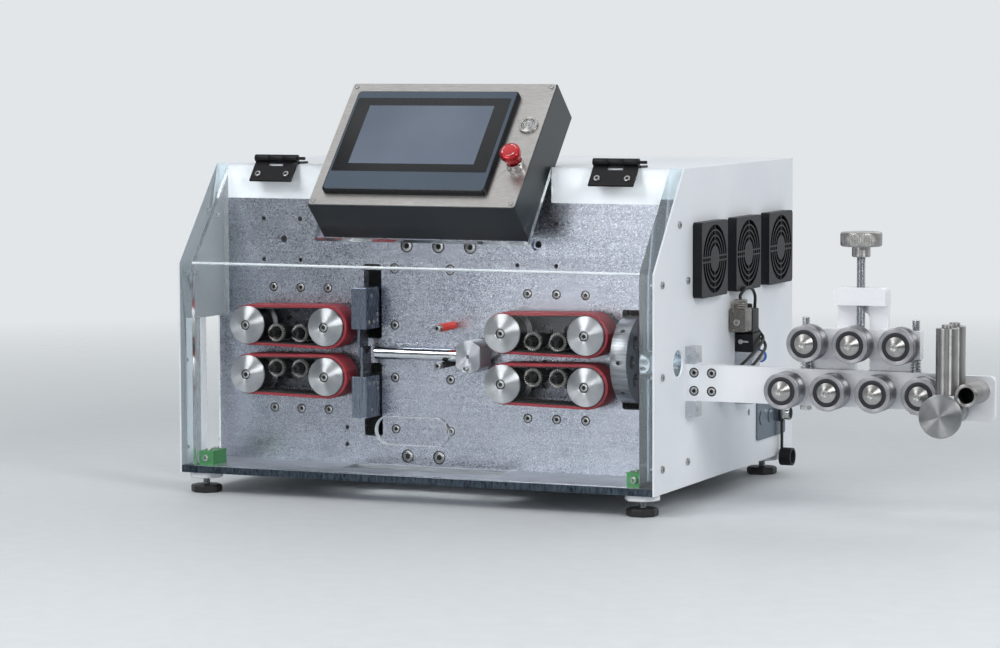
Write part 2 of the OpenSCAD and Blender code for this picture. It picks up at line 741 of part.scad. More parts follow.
module drive_motors() color(steel) place() {
  mount_y = plate_back + 62;
  block([30, mount_y, base_t], [case_w - 30, mount_y + 8, wire_z + 60]);
  for (x = [feed_left_x, cutter_x + 2, feed_right_x]) {
    block([x - 43, mount_y + 8 + seat_c, wire_z - 43], [x + 43, mount_y + 108, wire_z + 43]);
  }
  for (m = lift_motors) block([m[0] - lift_w / 2, plate_back, m[1] - lift_w / 2],
    [m[0] + lift_w / 2, plate_back + lift_len, m[1] + lift_w / 2]);
  block([60, mount_y + 130, base_t], [300, case_d - 30, base_t + 60]);
  block([330, mount_y + 130, base_t], [case_w - 50, case_d - 30, base_t + 50]);
}

function spline(p, i, t) = let (
    a = p[max(i - 1, 0)], b = p[i], c = p[i + 1], d = p[min(i + 2, len(p) - 1)])
  0.5 * (2 * b + (c - a) * t + (2 * a - 5 * b + 4 * c - d) * t * t + (3 * b - a - 3 * c + d) * t * t * t);
function route(p, n) = concat(
  [for (i = [0 : len(p) - 2]) for (k = [0 : n - 1]) spline(p, i, k / n)], [p[len(p) - 1]]);
function unit(v) = v / norm(v);

// Round tube along points, with rings square to the path and a guide direction across it
module tube(path, guide, r, sides) {
  n = len(path);
  tang = [for (i = [0 : n - 1]) unit(path[min(i + 1, n - 1)] - path[max(i - 1, 0)])];
  side = [for (i = [0 : n - 1]) unit(cross(tang[i], guide[i]))];
  up = [for (i = [0 : n - 1]) cross(side[i], tang[i])];
  rings = [for (i = [0 : n - 1]) for (k = [0 : sides - 1])
    path[i] + r * (cos(360 * k / sides) * side[i] + sin(360 * k / sides) * up[i])];
  walls = [for (i = [0 : n - 2]) for (k = [0 : sides - 1]) for (f = [0, 1]) let (m = (k + 1) % sides)
    f == 0 ? [i * sides + k, i * sides + m, (i + 1) * sides + m]
      : [i * sides + k, (i + 1) * sides + m, (i + 1) * sides + k]];
  ends = [[for (k = [0 : sides - 1]) sides - 1 - k], [for (k = [0 : sides - 1]) (n - 1) * sides + k]];
  polyhedron(points = rings, faces = concat(walls, ends), convexity = 6);
}

coil_lead = [[11, -12, 61], [11, -12, 65], [14, -8, 70], [15.5, 2, 73], [16, 20, 72], [17, 40, 62],
  [19, 47, 44], [23, 44, 24], [26.5, 28, 13], [26.5, 6, 5], [24, -20, -5], [18, -42, -16],
  [14, -49, -28], [13, -50, -38]];
block_lead = [[16, 27, 14], [16, 33, 14], [20, 41, 10], [25, 35, 3], [26.5, 14, -5], [25, -11, -15],
  [19, -34, -25], [14.5, -41, -33], [14, -42, -38]];

module valve_lead(p) translate([case_w, valve_y, valve_z])
  tube(route(p, 4), [for (i = [0 : 4 * (len(p) - 1)]) [1, 0, 0]], 1.8, 8);

module solenoid_valve() color(black) place() {
  translate([case_w, valve_y, valve_z]) {
    block([0, 0, -60], [21, 27, 0]);
    block([0, 0, seat_c], [22, 27, 21 - seat_c]);
    block([1, 1, 21], [21, 24, 49]);
    rod_z(5.5, 49, 54, 11, 13);
    block([1.5, -23, 24], [20.5, 1 - seat_c, 51]);
    for (k = [0 : 3]) rod_z(8.2, 51 + 2.5 * k, 52.6 + 2.5 * k, 11, -12);
    rod_z(7, 51, 61, 11, -12);
    difference() {
      rod_y(6, 27, 42, 13, -9);
      rod_y(air_r, 30, 43, 13, -9);
    }
    difference() {
      rod_y(5, 42, 45, 13, -9);
      rod_y(air_r, 41, 46, 13, -9);
    }
    block([0, -56, -52], [24, -36, -38]);
  }
  valve_lead(coil_lead);
  valve_lead(block_lead);
}

module signal_connector() color(steel) place() translate([case_w, conn_y, 0]) {
  side_sheet(0, 2) translate([0, 53]) round_rect(100, 56, 4);
  for (y = [-34.5, -4.5]) rod_x(8.2, 2, 2.8, y, conn_z);
  translate([2, 25.5, conn_z]) rotate([0, 90, 0]) cylinder(r = 10, h = 3, $fn = 6);
  difference() {
    rod_x(8, 5, 17, 25.5, conn_z);
    rod_x(6.6, 9, 18, 25.5, conn_z);
  }
  difference() {
    union() {
      rod_x(10, 5.4, 7, 25.5, conn_z);
      block([5.4, 22.5, 6], [7, 28.5, conn_z - 9]);
      rod_x(10.5, 5.4, 20, 25.5, -1);
    }
    rod_x(8.1, 5, 7.5, 25.5, conn_z);
    rod_x(8.4, 8, 21, 25.5, -1);
  }
}

// Unit of one feed belt with the bearing block that carries its pulleys and idlers
module feed_belt(fx, s) color([0.50, 0.08, 0.08]) place() {
  face_sheet(belt_y0, belt_w) translate([fx, wire_z + s * feed_dz]) difference() {
    level_slot(pulley_span + 2 * (belt_in_r + belt_t), 2 * (belt_in_r + belt_t));
    level_slot(pulley_span + 2 * belt_in_r, 2 * belt_in_r);
  }
  difference() {
    block([fx - bearing_w / 2, plate_back + pass_c, s > 0 ? wire_z + bearing_in : wire_z - bearing_out],
      [fx + bearing_w / 2, plate_back + bearing_t, s > 0 ? wire_z + bearing_out : wire_z - bearing_in]);
    for (e = [-1, 1]) {
      rod_y(shaft_r + run_c, plate_y, plate_back + bearing_t + 1, fx + e * pulley_span / 2,
        wire_z + s * feed_dz);
      rod_y(idler_shaft_r + run_c, plate_y, plate_back + bearing_t + 1, fx + e * idler_span / 2,
        wire_z + s * idler_dz);
    }
  }
}

module feed_pulley(fx, s, e) color(alu) place()
  translate([fx + e * pulley_span / 2, 0, wire_z + s * feed_dz]) {
  rim_y = belt_y0 - pass_c - rim_t;
  difference() {
    union() {
      translate([0, rim_y - cap_h, 0]) rotate([-90, 0, 0])
        rotate_extrude()
          polygon([[0, 0], [7, 0], [cap_r, cap_h], [cap_r, cap_h + rim_t], [0, cap_h + rim_t]]);
      rod_y(pulley_r, rim_y + rim_t, belt_y1 + pass_c, 0, 0);
      rod_y(cap_r, belt_y1 + pass_c, belt_y1 + pass_c + flange_t, 0, 0);
      rod_y(shaft_r, belt_y1 + pass_c + flange_t, plate_back + bearing_t, 0, 0);
    }
    rod_y(5.6, rim_y - cap_h - 1, rim_y - cap_h + 4, 0, 0);
  }
  socket_screw(0, rim_y - cap_h + 0.6, 0, 5, 3.4, 2.5, rim_y - cap_h + 4);
}

module feed_idler(fx, s, e) color(steel) place()
  translate([fx + e * idler_span / 2, 0, wire_z + s * idler_dz]) {
  difference() {
    union() {
      face_sheet(belt_y0 - 0.4, belt_w) {
        circle(r = idler_r - 1.2);
        for (k = [0 : idler_teeth - 1]) rotate(360 * k / idler_teeth)
          translate([idler_r - 1.6, 0]) polygon([[0, -0.9], [1.6, -0.5], [1.6, 0.5], [0, 0.9]]);
      }
      rod_y(idler_shaft_r, belt_y1 - 2, plate_back + bearing_t, 0, 0);
    }
    rod_y(7, belt_y0 - 1, belt_y0 + 5, 0, 0);
  }
  socket_screw(0, belt_y0 + 0.4, 0, 4.6, 4.4, 2.5, belt_y0 + 5);
}

module left_upper_belt() feed_belt(feed_left_x, 1);
module left_upper_pulley_out() feed_pulley(feed_left_x, 1, -1);
module left_upper_pulley_in() feed_pulley(feed_left_x, 1, 1);
module left_upper_idler_out() feed_idler(feed_left_x, 1, -1);
module left_upper_idler_in() feed_idler(feed_left_x, 1, 1);
module left_lower_belt() feed_belt(feed_left_x, -1);
module left_lower_pulley_out() feed_pulley(feed_left_x, -1, -1);
module left_lower_pulley_in() feed_pulley(feed_left_x, -1, 1);
module left_lower_idler_out() feed_idler(feed_left_x, -1, -1);
module left_lower_idler_in() feed_idler(feed_left_x, -1, 1);
module right_upper_belt() feed_belt(feed_right_x, 1);
module right_upper_pulley_out() feed_pulley(feed_right_x, 1, -1);
module right_upper_pulley_in() feed_pulley(feed_right_x, 1, 1);
module right_upper_idler_out() feed_idler(feed_right_x, 1, -1);
module right_upper_idler_in() feed_idler(feed_right_x, 1, 1);
module right_lower_belt() feed_belt(feed_right_x, -1);
module right_lower_pulley_out() feed_pulley(feed_right_x, -1, -1);
module right_lower_pulley_in() feed_pulley(feed_right_x, -1, 1);
module right_lower_idler_out() feed_idler(feed_right_x, -1, -1);
module right_lower_idler_in() feed_idler(feed_right_x, -1, 1);

// Holder with its blade, drawn upright above the wire line with the wire at the origin
module blade_space(x0, c) block([x0 - c, wire_y - blade_w / 2 - c, blade_open - blade_w / 2],
  [x0 + blade_t + c, wire_y + blade_w / 2 + c, holder_off + 22 + c]);

module blade_holder(x0) {
  difference() {
    block([cutter_x - holder_w / 2, holder_y, holder_off],
      [cutter_x + holder_w / 2, plate_back + pass_c + 1, holder_off + holder_h]);
    blade_space(x0, seat_c);
    for (y = [wire_y - 6, wire_y + 6])
      rod_x(2.2, cutter_x - holder_w, cutter_x + holder_w, y, holder_off + 8);
    rod_x(2.2, cutter_x - holder_w, cutter_x + holder_w, wire_y, holder_off + holder_h - 9);
  }
  block([cutter_x - holder_w / 2 - slot_side - 2, plate_back + pass_c, holder_off],
    [cutter_x + holder_w / 2 + slot_side + 2, plate_back + 18, holder_off + holder_h]);
  difference() {
    blade_space(x0, 0);
    translate([x0 - 1, wire_y, blade_open]) rotate([45, 0, 0]) translate([0, -blade_w, -blade_w])
      cube([blade_t + 2, blade_w, blade_w]);
    for (y = [wire_y - 6, wire_y + 6]) rod_x(2.2, x0 - 1, x0 + blade_t + 1, y, holder_off + 8);
  }
}

module upper_blade_holder() color(steel) place() translate([0, 0, wire_z])
  blade_holder(cutter_x - blade_t - pass_c / 2);
module lower_blade_holder() color(steel) place() translate([0, 0, wire_z]) mirror([0, 0, 1])
  blade_holder(cutter_x + pass_c / 2);

module guide_tube() color(chrome) place() {
  difference() {
    union() {
      rod_x(tube_r, tube_x0, guide_x, wire_y, wire_z);
      intersection() {
        rod_y(guide_r, guide_y0, link_y0 + 0.5, guide_x, wire_z);
        block([guide_x - guide_flat, guide_y0 - 1, wire_z - guide_r - 1],
          [guide_x + guide_flat, link_y0 + 1, wire_z + guide_r + 1]);
      }
      face_sheet(link_y0, link_y1 - link_y0) translate([guide_x, wire_z]) {
        circle(r = 12);
        translate([pivot_dx, pivot_dz]) circle(r = 12);
        rotate(atan2(pivot_dz, pivot_dx)) translate([0, -11])
          square([sqrt(pivot_dx * pivot_dx + pivot_dz * pivot_dz), 22]);
      }
      rod_y(pivot_r - run_c, link_y0 + 1, plate_back - 0.5, pivot_x, pivot_z);
    }
    rod_x(tube_bore_r, tube_x0 - 1, guide_x + guide_r, wire_y, wire_z);
    rod_y(2, guide_y0 - 1, guide_y0 + 5, guide_x, wire_z);
  }
  socket_screw(guide_x - 2, guide_y0 - 2.4, wire_z - guide_r + 5.5, 3, 2.4, 1.5, guide_y0 - seat_c);
}

module guide_turret() color(steel) place() difference() {
  union() {
    rod_x(turret_r, turret_x0, turret_x1, turret_y, wire_z);
    rod_x(turret_axle_r, turret_x0 - turret_side - axle_reach, turret_x1 + turret_side + axle_reach,
      turret_y, wire_z);
  }
  for (k = [0 : guide_bores - 1]) translate([0, turret_y, wire_z]) rotate([360 * k / guide_bores, 0, 0]) {
    rod_x(guide_bore_r, turret_x0 - 1, turret_x1 + 1, -turret_bore_c, 0);
    rod_y(2.4, -turret_r - 1, -turret_r + 6, (turret_x0 + turret_x1) / 2, 0);
  }
}

// Fixed axle with a spacer behind the roller and a domed head in front
module roller_axle(x, z) {
  rod_y(axle_r, roller_y0 - pass_c - 1, roller_y1 + pass_c, x, z);
  rod_y(11, roller_y1 + pass_c, arm_y - seat_c, x, z);
  rod_y(axle_end_r, arm_y - 1, arm_y + 8 - seat_c, x, z);
  intersection() {
    translate([x, roller_y0 - pass_c + sqrt(dome_s * dome_s - dome_r * dome_r), z])
      sphere(r = dome_s, $fn = 64);
    rod_y(dome_r, roller_y0 - 8, roller_y0 - pass_c, x, z);
  }
}

module straightener_frame() color(alu) place() {
  difference() {
    union() {
      block([case_w, arm_y, arm_z0 - 18.5], [case_w + 12, back_y, arm_z1 + 19.5]);
      block([case_w, arm_yb, arm_z0], [case_w + 42, back_y, arm_z1]);
    }
    block([case_w - 1, arm_y - 1, arm_z0], [case_w + 50, arm_yb, arm_z1]);
    for (z = [arm_z0 - 9.5, arm_z1 + 10]) rod_x(3, case_w - 1, case_w + 20, arm_yc, z);
  }
  difference() {
    block([case_w, arm_y, arm_z0 + seat_c], [arm_x1, arm_yb - seat_c, arm_z1 - seat_c]);
    for (i = [0 : 3]) rod_y(axle_end_r + seat_c, arm_y - 1, arm_y + 8, row_x + i * roller_pitch, low_z);
    for (e = [-1, 1]) rod_z(pin_r + seat_c, arm_z0 - 1, arm_z1 + 1, slide_x + e * pin_dx, arm_yc);
    for (x = [case_w + 10.5, case_w + 31]) for (z = [arm_z0 + 11, arm_z0 + 31]) {
      rod_y(5, arm_y - 1, arm_y + 5, x, z);
      rod_y(3 + seat_c, arm_y - 1, arm_yb + 1, x, z);
    }
  }
  for (x = [case_w + 10.5, case_w + 31]) for (z = [arm_z0 + 11, arm_z0 + 31])
    socket_screw(x, arm_y + 0.5, z, 4.7, 4.5 - seat_c, 3, arm_yb - seat_c);
  for (i = [0 : 3]) roller_axle(row_x + i * roller_pitch, low_z);
  face_sheet(arm_yb, back_t) difference() {
    union() {
      translate([slide_x, (arm_z0 + slide_z0 + 8) / 2]) round_rect(116, slide_z0 + 8 - arm_z0, 6);
      translate([slide_x - bridge_hw + 0.5, arm_z0]) square([2 * bridge_hw - 1, bridge_z0 - arm_z0]);
    }
    translate([slide_x, wire_z + 22]) upright_slot(16, 76);
  }
  difference() {
    face_sheet(arm_y, arm_t + back_t) union() {
      translate([slide_x - bridge_hw, bridge_z0 + seat_c])
        square([2 * bridge_hw, bridge_z1 - bridge_z0 - 6 - seat_c]);
      translate([slide_x - bridge_hw + 6, bridge_z0 + seat_c])
        square([2 * bridge_hw - 12, bridge_z1 - bridge_z0 - seat_c]);
      for (e = [-1, 1]) translate([slide_x + e * (bridge_hw - 6), bridge_z1 - 6]) circle(r = 6);
    }
    rod_z(screw_r + run_c, bridge_z0 - 1, bridge_z1 + 1, slide_x, arm_yc);
  }
  for (e = [-1, 1]) {
    rod_z(pin_r, arm_z0, pin_top, slide_x + e * pin_dx, arm_yc);
    translate([slide_x + e * pin_dx, arm_yc, arm_z0 - 5]) cylinder(r = 6.5, h = 5, $fn = 6);
  }
  cage_bracket();
}

// Plate and shelf that carry the four inlet rollers
module cage_bracket() {
  plate_z0 = disc_z - 11;
  plate_z1 = hollow_z + 15;
  face_sheet(arm_yb, back_t) translate([(arm_x1 - 30 + cage_end) / 2, (plate_z0 + plate_z1) / 2])
    round_rect(cage_end - arm_x1 + 30, plate_z1 - plate_z0, 6);
  block([shelf_x0, shelf_y0, shelf_z0], [shelf_x1, arm_yb + 1, shelf_z1]);
  rod_y(5, disc_y0 + 1, arm_yb, disc_x, disc_z);
  rod_y(8, wire_y + 24 + pass_c, arm_yb, hollow_x, hollow_z);
  rod_y(5, wire_y + 4, wire_y + 25, hollow_x, hollow_z);
  for (s = [-1, 1]) {
    rod_z(4, shelf_z1, cage_z1 + pass_c + 1, cage_x, wire_y + s * cage_dy);
    rod_z(5.5, cage_z1 + pass_c, cage_z1 + 3.5, cage_x, wire_y + s * cage_dy);
  }
}

module pressure_slide() color(alu) place() {
  difference() {
    block([slide_x - slide_hw, arm_y, slide_z0], [slide_x + slide_hw, arm_yb - pass_c, slide_z1]);
    for (e = [-1, 1]) rod_z(pin_r + run_c, slide_z0 - 1, slide_z1 + 1, slide_x + e * pin_dx, arm_yc);
    rod_z(screw_r + run_c, slide_z1 - 6, slide_z1 + 1, slide_x, arm_yc);
    for (i = [-1 : 1]) rod_y(axle_end_r + seat_c, arm_y - 1, arm_y + 8, slide_x + i * roller_pitch, up_z);
  }
  for (i = [-1 : 1]) roller_axle(slide_x + i * roller_pitch, up_z);
}

module pressure_screw() color(steel) place() translate([slide_x, arm_yc, 0]) {
  rod_z(screw_r, slide_z1 - 5.6, knob_z0, 0, 0);
  rod_z(10, collar_z0, knob_z0, 0, 0);
  translate([0, 0, knob_z0]) rotate_extrude() polygon([[0, 0], [knob_r - 1, 0], [knob_r, 1],
    [knob_r, knob_h - 1], [knob_r - 1, knob_h], [0, knob_h]]);
}

spring_path = [for (k = [0 : 8 * spring_turns]) [spring_r * cos(45 * k), spring_r * sin(45 * k),
  spring_z0 + (spring_z1 - spring_z0) * k / (8 * spring_turns)]];
spring_guide = [for (k = [0 : 8 * spring_turns]) [cos(45 * k), sin(45 * k), 0]];
spring_steps = [for (k = [0 : len(spring_path) - 9]) norm(spring_path[k + 8] - spring_path[k])];
spring_gap = min(spring_steps) - 2 * spring_wire_r;
echo("least gap between the curls of a spring", spring_gap);

module pressure_springs() color(steel) place() for (e = [-1, 1])
  translate([slide_x + e * pin_dx, arm_yc, 0]) tube(spring_path, spring_guide, spring_wire_r, 6);

module straight_roller(x, z) color(steel) place() translate([x, roller_y0, z]) rotate([-90, 0, 0])
  rotate_extrude() polygon([[axle_r + run_c, 0], [dome_r + 0.6, 0], [dome_r + 0.6, 0.8],
    [roller_r - 5, 0.8], [roller_r - 5, 0], [roller_r - 0.8, 0], [roller_r, 0.8],
    [roller_r, roller_w / 2 - 6],
    [roller_r - 4, roller_w / 2 - 1], [roller_r - 4, roller_w / 2 + 1], [roller_r, roller_w / 2 + 6],
    [roller_r, roller_w - 0.8], [roller_r - 0.8, roller_w], [axle_r + run_c, roller_w]]);

module lower_roller_1() straight_roller(row_x, low_z);
module lower_roller_2() straight_roller(row_x + roller_pitch, low_z);
module lower_roller_3() straight_roller(row_x + 2 * roller_pitch, low_z);
module lower_roller_4() straight_roller(row_x + 3 * roller_pitch, low_z);
module upper_roller_1() straight_roller(slide_x - roller_pitch, up_z);
module upper_roller_2() straight_roller(slide_x, up_z);
module upper_roller_3() straight_roller(slide_x + roller_pitch, up_z);

module upright_roller(s) color(chrome) place() difference() {
  rod_z(cage_r, cage_z0, cage_z1, cage_x, wire_y + s * cage_dy);
  rod_z(4 + run_c, cage_z0 - 1, cage_z1 + 1, cage_x, wire_y + s * cage_dy);
}

module cage_front_roller() upright_roller(-1);
module cage_rear_roller() upright_roller(1);
module cage_disc_roller() color(chrome) place() difference() {
  union() {
    rod_y(disc_body_r, disc_y1 - 1, arm_yb - 2, disc_x, disc_z);
    rod_y(disc_r, disc_y0, disc_y1, disc_x, disc_z);
  }
  rod_y(5 + run_c, disc_y0 + 1 - pass_c, arm_yb, disc_x, disc_z);
}

module cage_hollow_roller() color(chrome) place() difference() {
  rod_y(hollow_r, hollow_y0, wire_y + 24, hollow_x, hollow_z);
  rod_y(hollow_bore_r, hollow_y0 - 1, wire_y + 4 - pass_c, hollow_x, hollow_z);
  rod_y(5 + run_c, wire_y, wire_y + 25, hollow_x, hollow_z);
}

base_plate();
front_plate();
left_side_panel();
right_side_panel();
top_rear_cover();
levelling_feet();
screws_and_stops();
cover_catches();
control_box();
control_faceplate();
touchscreen();
power_button();
estop_button();
hinge_fixed_leaves();
hinge_moving_leaves();
guard_end_plates();
guard_cover();
fan_units();
drive_motors();
solenoid_valve();
signal_connector();
left_upper_belt();
left_upper_pulley_out();
left_upper_pulley_in();
left_upper_idler_out();
left_upper_idler_in();
left_lower_belt();
left_lower_pulley_out();
left_lower_pulley_in();
left_lower_idler_out();
left_lower_idler_in();
right_upper_belt();
right_upper_pulley_out();
right_upper_pulley_in();
right_upper_idler_out();
right_upper_idler_in();
right_lower_belt();
right_lower_pulley_out();
right_lower_pulley_in();
right_lower_idler_out();
right_lower_idler_in();
upper_blade_holder();
lower_blade_holder();
guide_tube();
guide_turret();
straightener_frame();
pressure_slide();
pressure_screw();
pressure_springs();
lower_roller_1();
lower_roller_2();
lower_roller_3();
lower_roller_4();
upper_roller_1();
upper_roller_2();
upper_roller_3();
cage_front_roller();
cage_rear_roller();
cage_disc_roller();
cage_hollow_roller();
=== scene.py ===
"""Visual model of a wire cutting and stripping machine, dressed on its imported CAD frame.

Lengths are millimetres in the machine's own frame: x along the wire from the left panel, y from the
clear front towards the back, z up from the underside of the base plate. put() turns them into metres.
"""

import math

import bmesh
import bpy
import numpy as np
from mathutils import Matrix


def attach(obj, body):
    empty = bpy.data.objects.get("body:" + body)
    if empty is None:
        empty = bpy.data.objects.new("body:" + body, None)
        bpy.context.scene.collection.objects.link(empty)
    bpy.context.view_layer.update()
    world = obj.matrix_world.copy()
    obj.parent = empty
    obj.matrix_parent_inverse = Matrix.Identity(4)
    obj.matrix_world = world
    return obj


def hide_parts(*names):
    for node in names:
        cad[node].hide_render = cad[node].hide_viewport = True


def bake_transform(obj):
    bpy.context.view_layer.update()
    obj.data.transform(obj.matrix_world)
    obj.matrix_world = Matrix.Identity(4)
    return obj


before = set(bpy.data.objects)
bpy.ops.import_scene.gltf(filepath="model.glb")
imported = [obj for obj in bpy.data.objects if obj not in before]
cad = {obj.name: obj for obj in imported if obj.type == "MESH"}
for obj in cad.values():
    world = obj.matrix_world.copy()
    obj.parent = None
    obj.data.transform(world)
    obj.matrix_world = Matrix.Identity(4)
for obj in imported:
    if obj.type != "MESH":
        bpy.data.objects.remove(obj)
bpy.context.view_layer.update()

MACHINE_ORIGIN = np.array([461.95, 230.0, -24.0])
X_WAY, Y_WAY, Z_WAY = np.eye(3)
WIRE_Y, WIRE_Z = 73.0, 138.0
FEED_X = {"left": 109.0, "right": 428.0}
ROW_SIGN = {"upper": 1, "lower": -1}
PULLEY_HALF, PULLEY_DZ, IDLER_HALF, IDLER_DZ = 50.0, 28.35, 15.0, 20.15
BELT_Y0, BELT_Y1 = 58.6, 88.2
SLOPE_RUN, SLOPE_RISE = 92.0, 110.0
SLOPE = math.atan2(SLOPE_RUN, SLOPE_RISE)
SLOPE_UP = np.array([0, math.sin(SLOPE), math.cos(SLOPE)])
SLOPE_OUT = np.array([0, -math.cos(SLOPE), math.sin(SLOPE)])
CAMERA_TURN, CAMERA_PLACE = (23.608, 4.721, 0.19), (1.41577, -3.61176, 0.51045)
CAMERA_LENS, CAMERA_SENSOR = 121.996, 36.0


def put(points):
    """Machine millimetres to metres of the shared frame: subtract the origin, divide by a thousand."""
    return (np.asarray(points, float) - MACHINE_ORIGIN) / 1000.0


def placed(name, data):
    """New object on its data, linked to the scene."""
    thing = bpy.data.objects.new(name, data)
    bpy.context.scene.collection.objects.link(thing)
    return thing


def round_angles(sides):
    """Even angles of one full turn."""
    return np.linspace(0, 2 * np.pi, sides, endpoint=False)


# Camera at the photograph's viewing angle


def photo_camera():
    """Camera axes from yaw, pitch and roll: the view is turned left by the yaw and down by the pitch."""
    yaw, pitch, roll = (math.radians(a) for a in CAMERA_TURN)
    ahead = np.array([-math.sin(yaw) * math.cos(pitch), math.cos(yaw) * math.cos(pitch), -math.sin(pitch)])
    right = np.array([math.cos(yaw), math.sin(yaw), 0.0])
    down = np.cross(ahead, right)
    across = math.cos(roll) * right + math.sin(roll) * down
    below = -math.sin(roll) * right + math.cos(roll) * down
    lens = bpy.data.cameras.new("photo_camera")
    lens.sensor_fit = "HORIZONTAL"
    lens.sensor_width = CAMERA_SENSOR
    lens.lens = CAMERA_LENS
    lens.clip_start = 0.05
    lens.clip_end = 100.0
    camera = placed("photo_camera", lens)
    turn = np.eye(4)
    turn[:3, 0], turn[:3, 1], turn[:3, 2] = across, -below, -ahead
    turn[:3, 3] = CAMERA_PLACE
    camera.matrix_world = Matrix(turn.tolist())
    bpy.context.scene.camera = camera


photo_camera()
bpy.context.scene.view_settings.view_transform = "Standard"


# Finishes


def tone(red, green, blue):
    """Screen colour, 0 to 255, to the linear colour that a shader takes."""
    c = np.array([red, green, blue]) / 255.0
    line = np.where(c <= 0.04045, c / 12.92, ((c + 0.055) / 1.055) ** 2.4)
    return (*line.tolist(), 1.0)


class Patterns:
    """Shader nodes of one tree, with helpers for patterns on Object coordinates or a piece's UV map."""

    def __init__(self, tree):
        self.tree = tree
        self.where = tree.nodes.new("ShaderNodeTexCoord")

    def add(self, kind, **settings):
        made = self.tree.nodes.new(kind)
        for key, value in settings.items():
            setattr(made, key, value)
        return made

    def link(self, out, into):
        self.tree.links.new(out, into)

    def spot(self, stretch=(1, 1, 1), turn=(0, 0, 0), uv=False):
        """Coordinates stretched and turned for a pattern that runs one way."""
        mapping = self.add("ShaderNodeMapping")
        mapping.inputs["Scale"].default_value = stretch
        mapping.inputs["Rotation"].default_value = [math.radians(a) for a in turn]
        self.link(self.where.outputs["UV" if uv else "Object"], mapping.inputs["Vector"])
        return mapping.outputs["Vector"]

    def noise(self, scale, detail=2.0, rough=0.5, **way):
        made = self.add("ShaderNodeTexNoise")
        made.inputs["Scale"].default_value = scale
        made.inputs["Detail"].default_value = detail
        made.inputs["Roughness"].default_value = rough
        self.link(self.spot(**way), made.inputs["Vector"])
        return made.outputs["Fac"]

    def span(self, fac, low, high, start=0.3, end=0.7):
        """Pattern between start and end carried to the range low to high."""
        made = self.add("ShaderNodeMapRange")
        for socket, value in (("From Min", start), ("From Max", end), ("To Min", low), ("To Max", high)):
            made.inputs[socket].default_value = value
        self.link(fac, made.inputs["Value"])
        return made.outputs["Result"]

    def sum(self, first, second, how="ADD"):
        made = self.add("ShaderNodeMath", operation=how)
        self.link(first, made.inputs[0])
        if isinstance(second, (int, float)):
            made.inputs[1].default_value = second
        else:
            self.link(second, made.inputs[1])
        return made.outputs["Value"]

    def height_mask(self, axis, start, end):
        """0 to 1 along one axis of the Object coordinates, between two places in metres."""
        split = self.add("ShaderNodeSeparateXYZ")
        self.link(self.where.outputs["Object"], split.inputs["Vector"])
        return self.span(split.outputs[axis], 0.0, 1.0, start, end)

    def mix(self, fac, first, second):
        """Colour between two tones, each a tuple or another pattern's colour."""
        made = self.add("ShaderNodeMix", data_type="RGBA")
        self.link(fac, made.inputs["Factor"])
        for socket, value in ((made.inputs[6], first), (made.inputs[7], second)):
            if isinstance(value, tuple):
                socket.default_value = value
            else:
                self.link(value, socket)
        return made.outputs[2]


class Finish(Patterns):
    """One material: a Principled shader whose colour, gloss and relief follow patterns."""

    def __init__(self, name, metal=0.0, **plain):
        self.material = bpy.data.materials.new(name)
        self.material.use_nodes = True
        super().__init__(self.material.node_tree)
        self.shader = self.tree.nodes["Principled BSDF"]
        self.shader.inputs["Metallic"].default_value = metal
        for socket, value in plain.items():
            self.shader.inputs[socket.replace("_", " ")].default_value = value

    def colour(self, out):
        self.link(out, self.shader.inputs["Base Color"])

    def rough(self, out):
        self.link(out, self.shader.inputs["Roughness"])

    def bump(self, height, depth, strength=1.0):
        made = self.add("ShaderNodeBump")
        made.inputs["Distance"].default_value = depth
        made.inputs["Strength"].default_value = strength
        self.link(height, made.inputs["Height"])
        self.link(made.outputs["Normal"], self.shader.inputs["Normal"])

    def fade(self, fac, other):
        """This shader where the pattern is 0 and another one where it is 1."""
        both = self.add("ShaderNodeMixShader")
        for place, out in enumerate((fac, self.shader.outputs[0], other.outputs[0])):
            self.link(out, both.inputs[place])
        self.link(both.outputs[0], self.tree.nodes["Material Output"].inputs["Surface"])

    def along_turn(self):
        """Tangent along u, round the axis of a turned piece; a quarter turn spreads highlights across
        it."""
        tangent = self.add("ShaderNodeTangent", direction_type="UV_MAP")
        self.link(tangent.outputs["Tangent"], self.shader.inputs["Tangent"])


def painted(name, dark, light, low, high, grain, depth, drift=7.0, **plain):
    """Paint or moulded plastic: slow drift between two tones, fine grain in gloss and relief."""
    f = Finish(name, **plain)
    fine = f.noise(grain, 3.0)
    drift_out = f.sum(f.noise(drift, 3.0), f.span(fine, -0.12, 0.12))
    f.colour(f.mix(f.span(drift_out, 0.0, 1.0), dark, light))
    f.rough(f.span(fine, low, high))
    f.bump(fine, depth, 0.6)
    return f.material


def ground_metal(name, dark, light, low, high, stretch, grain, depth, turn=(0, 0, 0), metal=1.0, **plain):
    """Ground or brushed metal: long fine streaks in tone, gloss and relief, over a slow drift."""
    f = Finish(name, metal=metal, **plain)
    streak = f.noise(grain, 4.0, 0.65, stretch=stretch, turn=turn)
    both = f.sum(f.span(streak, 0.0, 0.75), f.span(f.noise(14.0, 3.0), 0.0, 0.25))
    f.colour(f.mix(both, dark, light))
    f.rough(f.span(streak, high, low))
    f.bump(streak, depth, 0.5)
    return f.material


